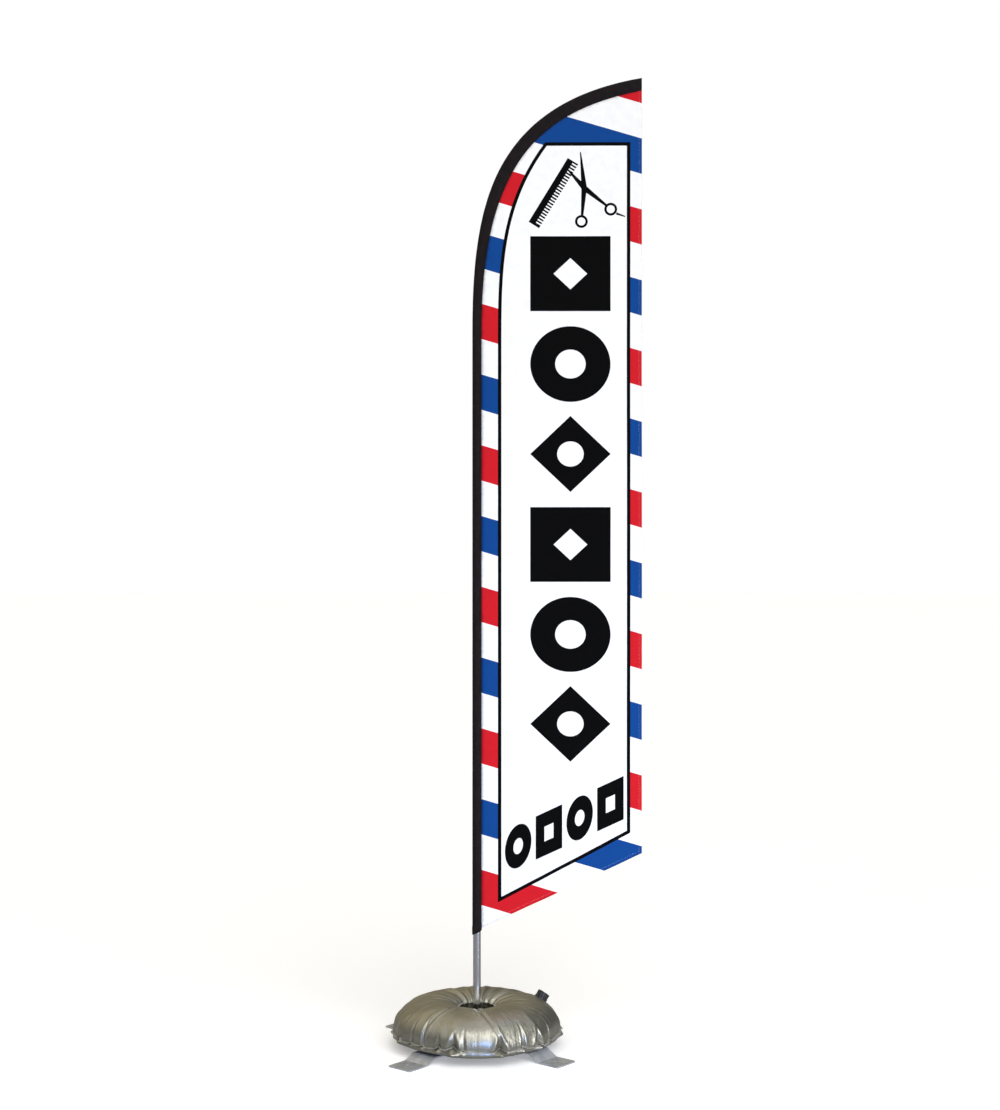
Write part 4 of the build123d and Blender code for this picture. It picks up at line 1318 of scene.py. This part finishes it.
def studio_world(settings):
    """White to the camera; to everything else bright above and in front, warm behind on the left."""
    world = bpy.data.worlds.new("Studio surroundings")
    world.use_nodes = True
    world.node_tree.nodes.clear()
    room = Nodes(world.node_tree)
    way = room.node("TexCoord").outputs["Generated"]

    def toward(direction, low, high, to_high):
        along = room.vector("DOT_PRODUCT", way, direction, output="Value")
        return room.remap(along, low, high, 0.0, to_high, "SMOOTHSTEP")

    above = toward((-0.10, -0.30, 0.95), 0.15, 0.95, 1.3)
    front = toward((0.52, -0.85, 0.0), 0.70, 0.96, 1.9)
    gold = toward((-0.55, 0.80, 0.20), 0.35, 0.95, 0.50)
    level = room.math("ADD", room.math("ADD", above, front), room.math("ADD", gold, settings.shade))
    tint = room.blend(toward((-0.55, 0.80, 0.20), 0.2, 0.9, 1.0), (1.0, 1.0, 1.0), (1.0, 0.86, 0.58))
    light, backdrop, mix = room.node("Background"), room.node("Background"), room.node("MixShader")
    room.feed(light.inputs["Color"], tint)
    room.feed(light.inputs["Strength"], room.math("MULTIPLY", level, settings.sky))
    room.feed(backdrop.inputs["Color"], (1, 1, 1))
    room.feed(mix.inputs[0], room.node("LightPath").outputs["Is Camera Ray"])
    room.feed(mix.inputs[1], light.outputs[0])
    room.feed(mix.inputs[2], backdrop.outputs[0])
    room.feed(room.node("OutputWorld").inputs["Surface"], mix.outputs[0])
    bpy.context.scene.world = world


def studio_lights(settings):
    sun = bpy.data.lights.new("Even light", "SUN")
    sun.energy = settings.even_power
    sun.angle = math.radians(50.0)
    place_in_scene("Even light", sun, (0.0, 0.0, 0.0), (-0.30, 0.62, -0.72))
    area_light("Key", (-2.4, -3.6, 3.4), (0.1, 0.0, 0.8), (1.6, 1.6), settings.key_power, (1.0, 0.985, 0.95))
    area_light("Strip", (1.45, -1.55, 0.40), (0.0, 0.0, 0.28), (0.30, 0.9), settings.strip_power,
               (1.0, 1.0, 1.0))
    area_light("Low", (0.7, -2.6, 0.35), (0.0, -0.2, 0.05), (1.1, 0.3), settings.fill_power,
               (0.16, 0.36, 1.0))


def studio_camera(settings):
    data = bpy.data.cameras.new("Camera")
    data.lens = settings.lens
    data.sensor_width = 36.0
    data.sensor_fit = "AUTO"
    data.clip_end = 200.0
    place = (settings.camera_side, -settings.camera_distance, settings.camera_height)
    camera = place_in_scene("Camera", data, place)
    camera.rotation_euler = (math.radians(90.0), 0.0, 0.0)
    bpy.context.scene.camera = camera


class FEATHERFLAG_OT_stage(bpy.types.Operator):
    """Set up the floor, the soft light and the camera"""
    bl_idname = "feather_flag.stage"
    bl_label = "Stage"

    def execute(self, context):
        settings = context.scene.feather_flag_stage
        studio_floor(settings)
        studio_world(settings)
        studio_lights(settings)
        studio_camera(settings)
        context.scene.view_settings.view_transform = "Standard"
        return {"FINISHED"}


class FEATHERFLAG_PT_panel(bpy.types.Panel):
    """Lists the makers and their sizes"""
    bl_label = "Feather flag"
    bl_idname = "FEATHERFLAG_PT_panel"
    bl_space_type = "VIEW_3D"
    bl_region_type = "UI"
    bl_category = "Feather flag"

    def draw(self, context):
        layout = self.layout
        for maker, holder in STEPS:
            box = layout.box()
            box.operator(maker.bl_idname)
            if holder:
                settings = getattr(context.scene, holder)
                for name in settings.bl_rna.properties.keys():
                    if name not in ("rna_type", "name"):
                        box.prop(settings, name)


STEPS = (
    (FEATHERFLAG_OT_stage, "feather_flag_stage"),
    (FEATHERFLAG_OT_hardware, None),
    (FEATHERFLAG_OT_cloth, "feather_flag_cloth"),
    (FEATHERFLAG_OT_sleeve, "feather_flag_sleeve"),
    (FEATHERFLAG_OT_water_ring, "feather_flag_ring"),
    (FEATHERFLAG_OT_stitches, "feather_flag_stitches"),
)
SETTINGS = {
    "feather_flag_cloth": FlagClothSettings,
    "feather_flag_sleeve": SleeveSettings,
    "feather_flag_ring": WaterRingSettings,
    "feather_flag_stitches": StitchSettings,
    "feather_flag_stage": StageSettings,
}


def register():
    for name, group in SETTINGS.items():
        bpy.utils.register_class(group)
        setattr(bpy.types.Scene, name, PointerProperty(type=group))
    for maker, _ in STEPS:
        bpy.utils.register_class(maker)
    bpy.utils.register_class(FEATHERFLAG_PT_panel)


def unregister():
    bpy.utils.unregister_class(FEATHERFLAG_PT_panel)
    for maker, _ in reversed(STEPS):
        bpy.utils.unregister_class(maker)
    for name, group in SETTINGS.items():
        delattr(bpy.types.Scene, name)
        bpy.utils.unregister_class(group)


def main():
    register()
    for maker, _ in STEPS:
        family, action = maker.bl_idname.split(".")
        if getattr(getattr(bpy.ops, family), action)() != {"FINISHED"}:
            raise RuntimeError(f"{maker.bl_label} wasn't made")


if __name__ == "__main__":
    main()
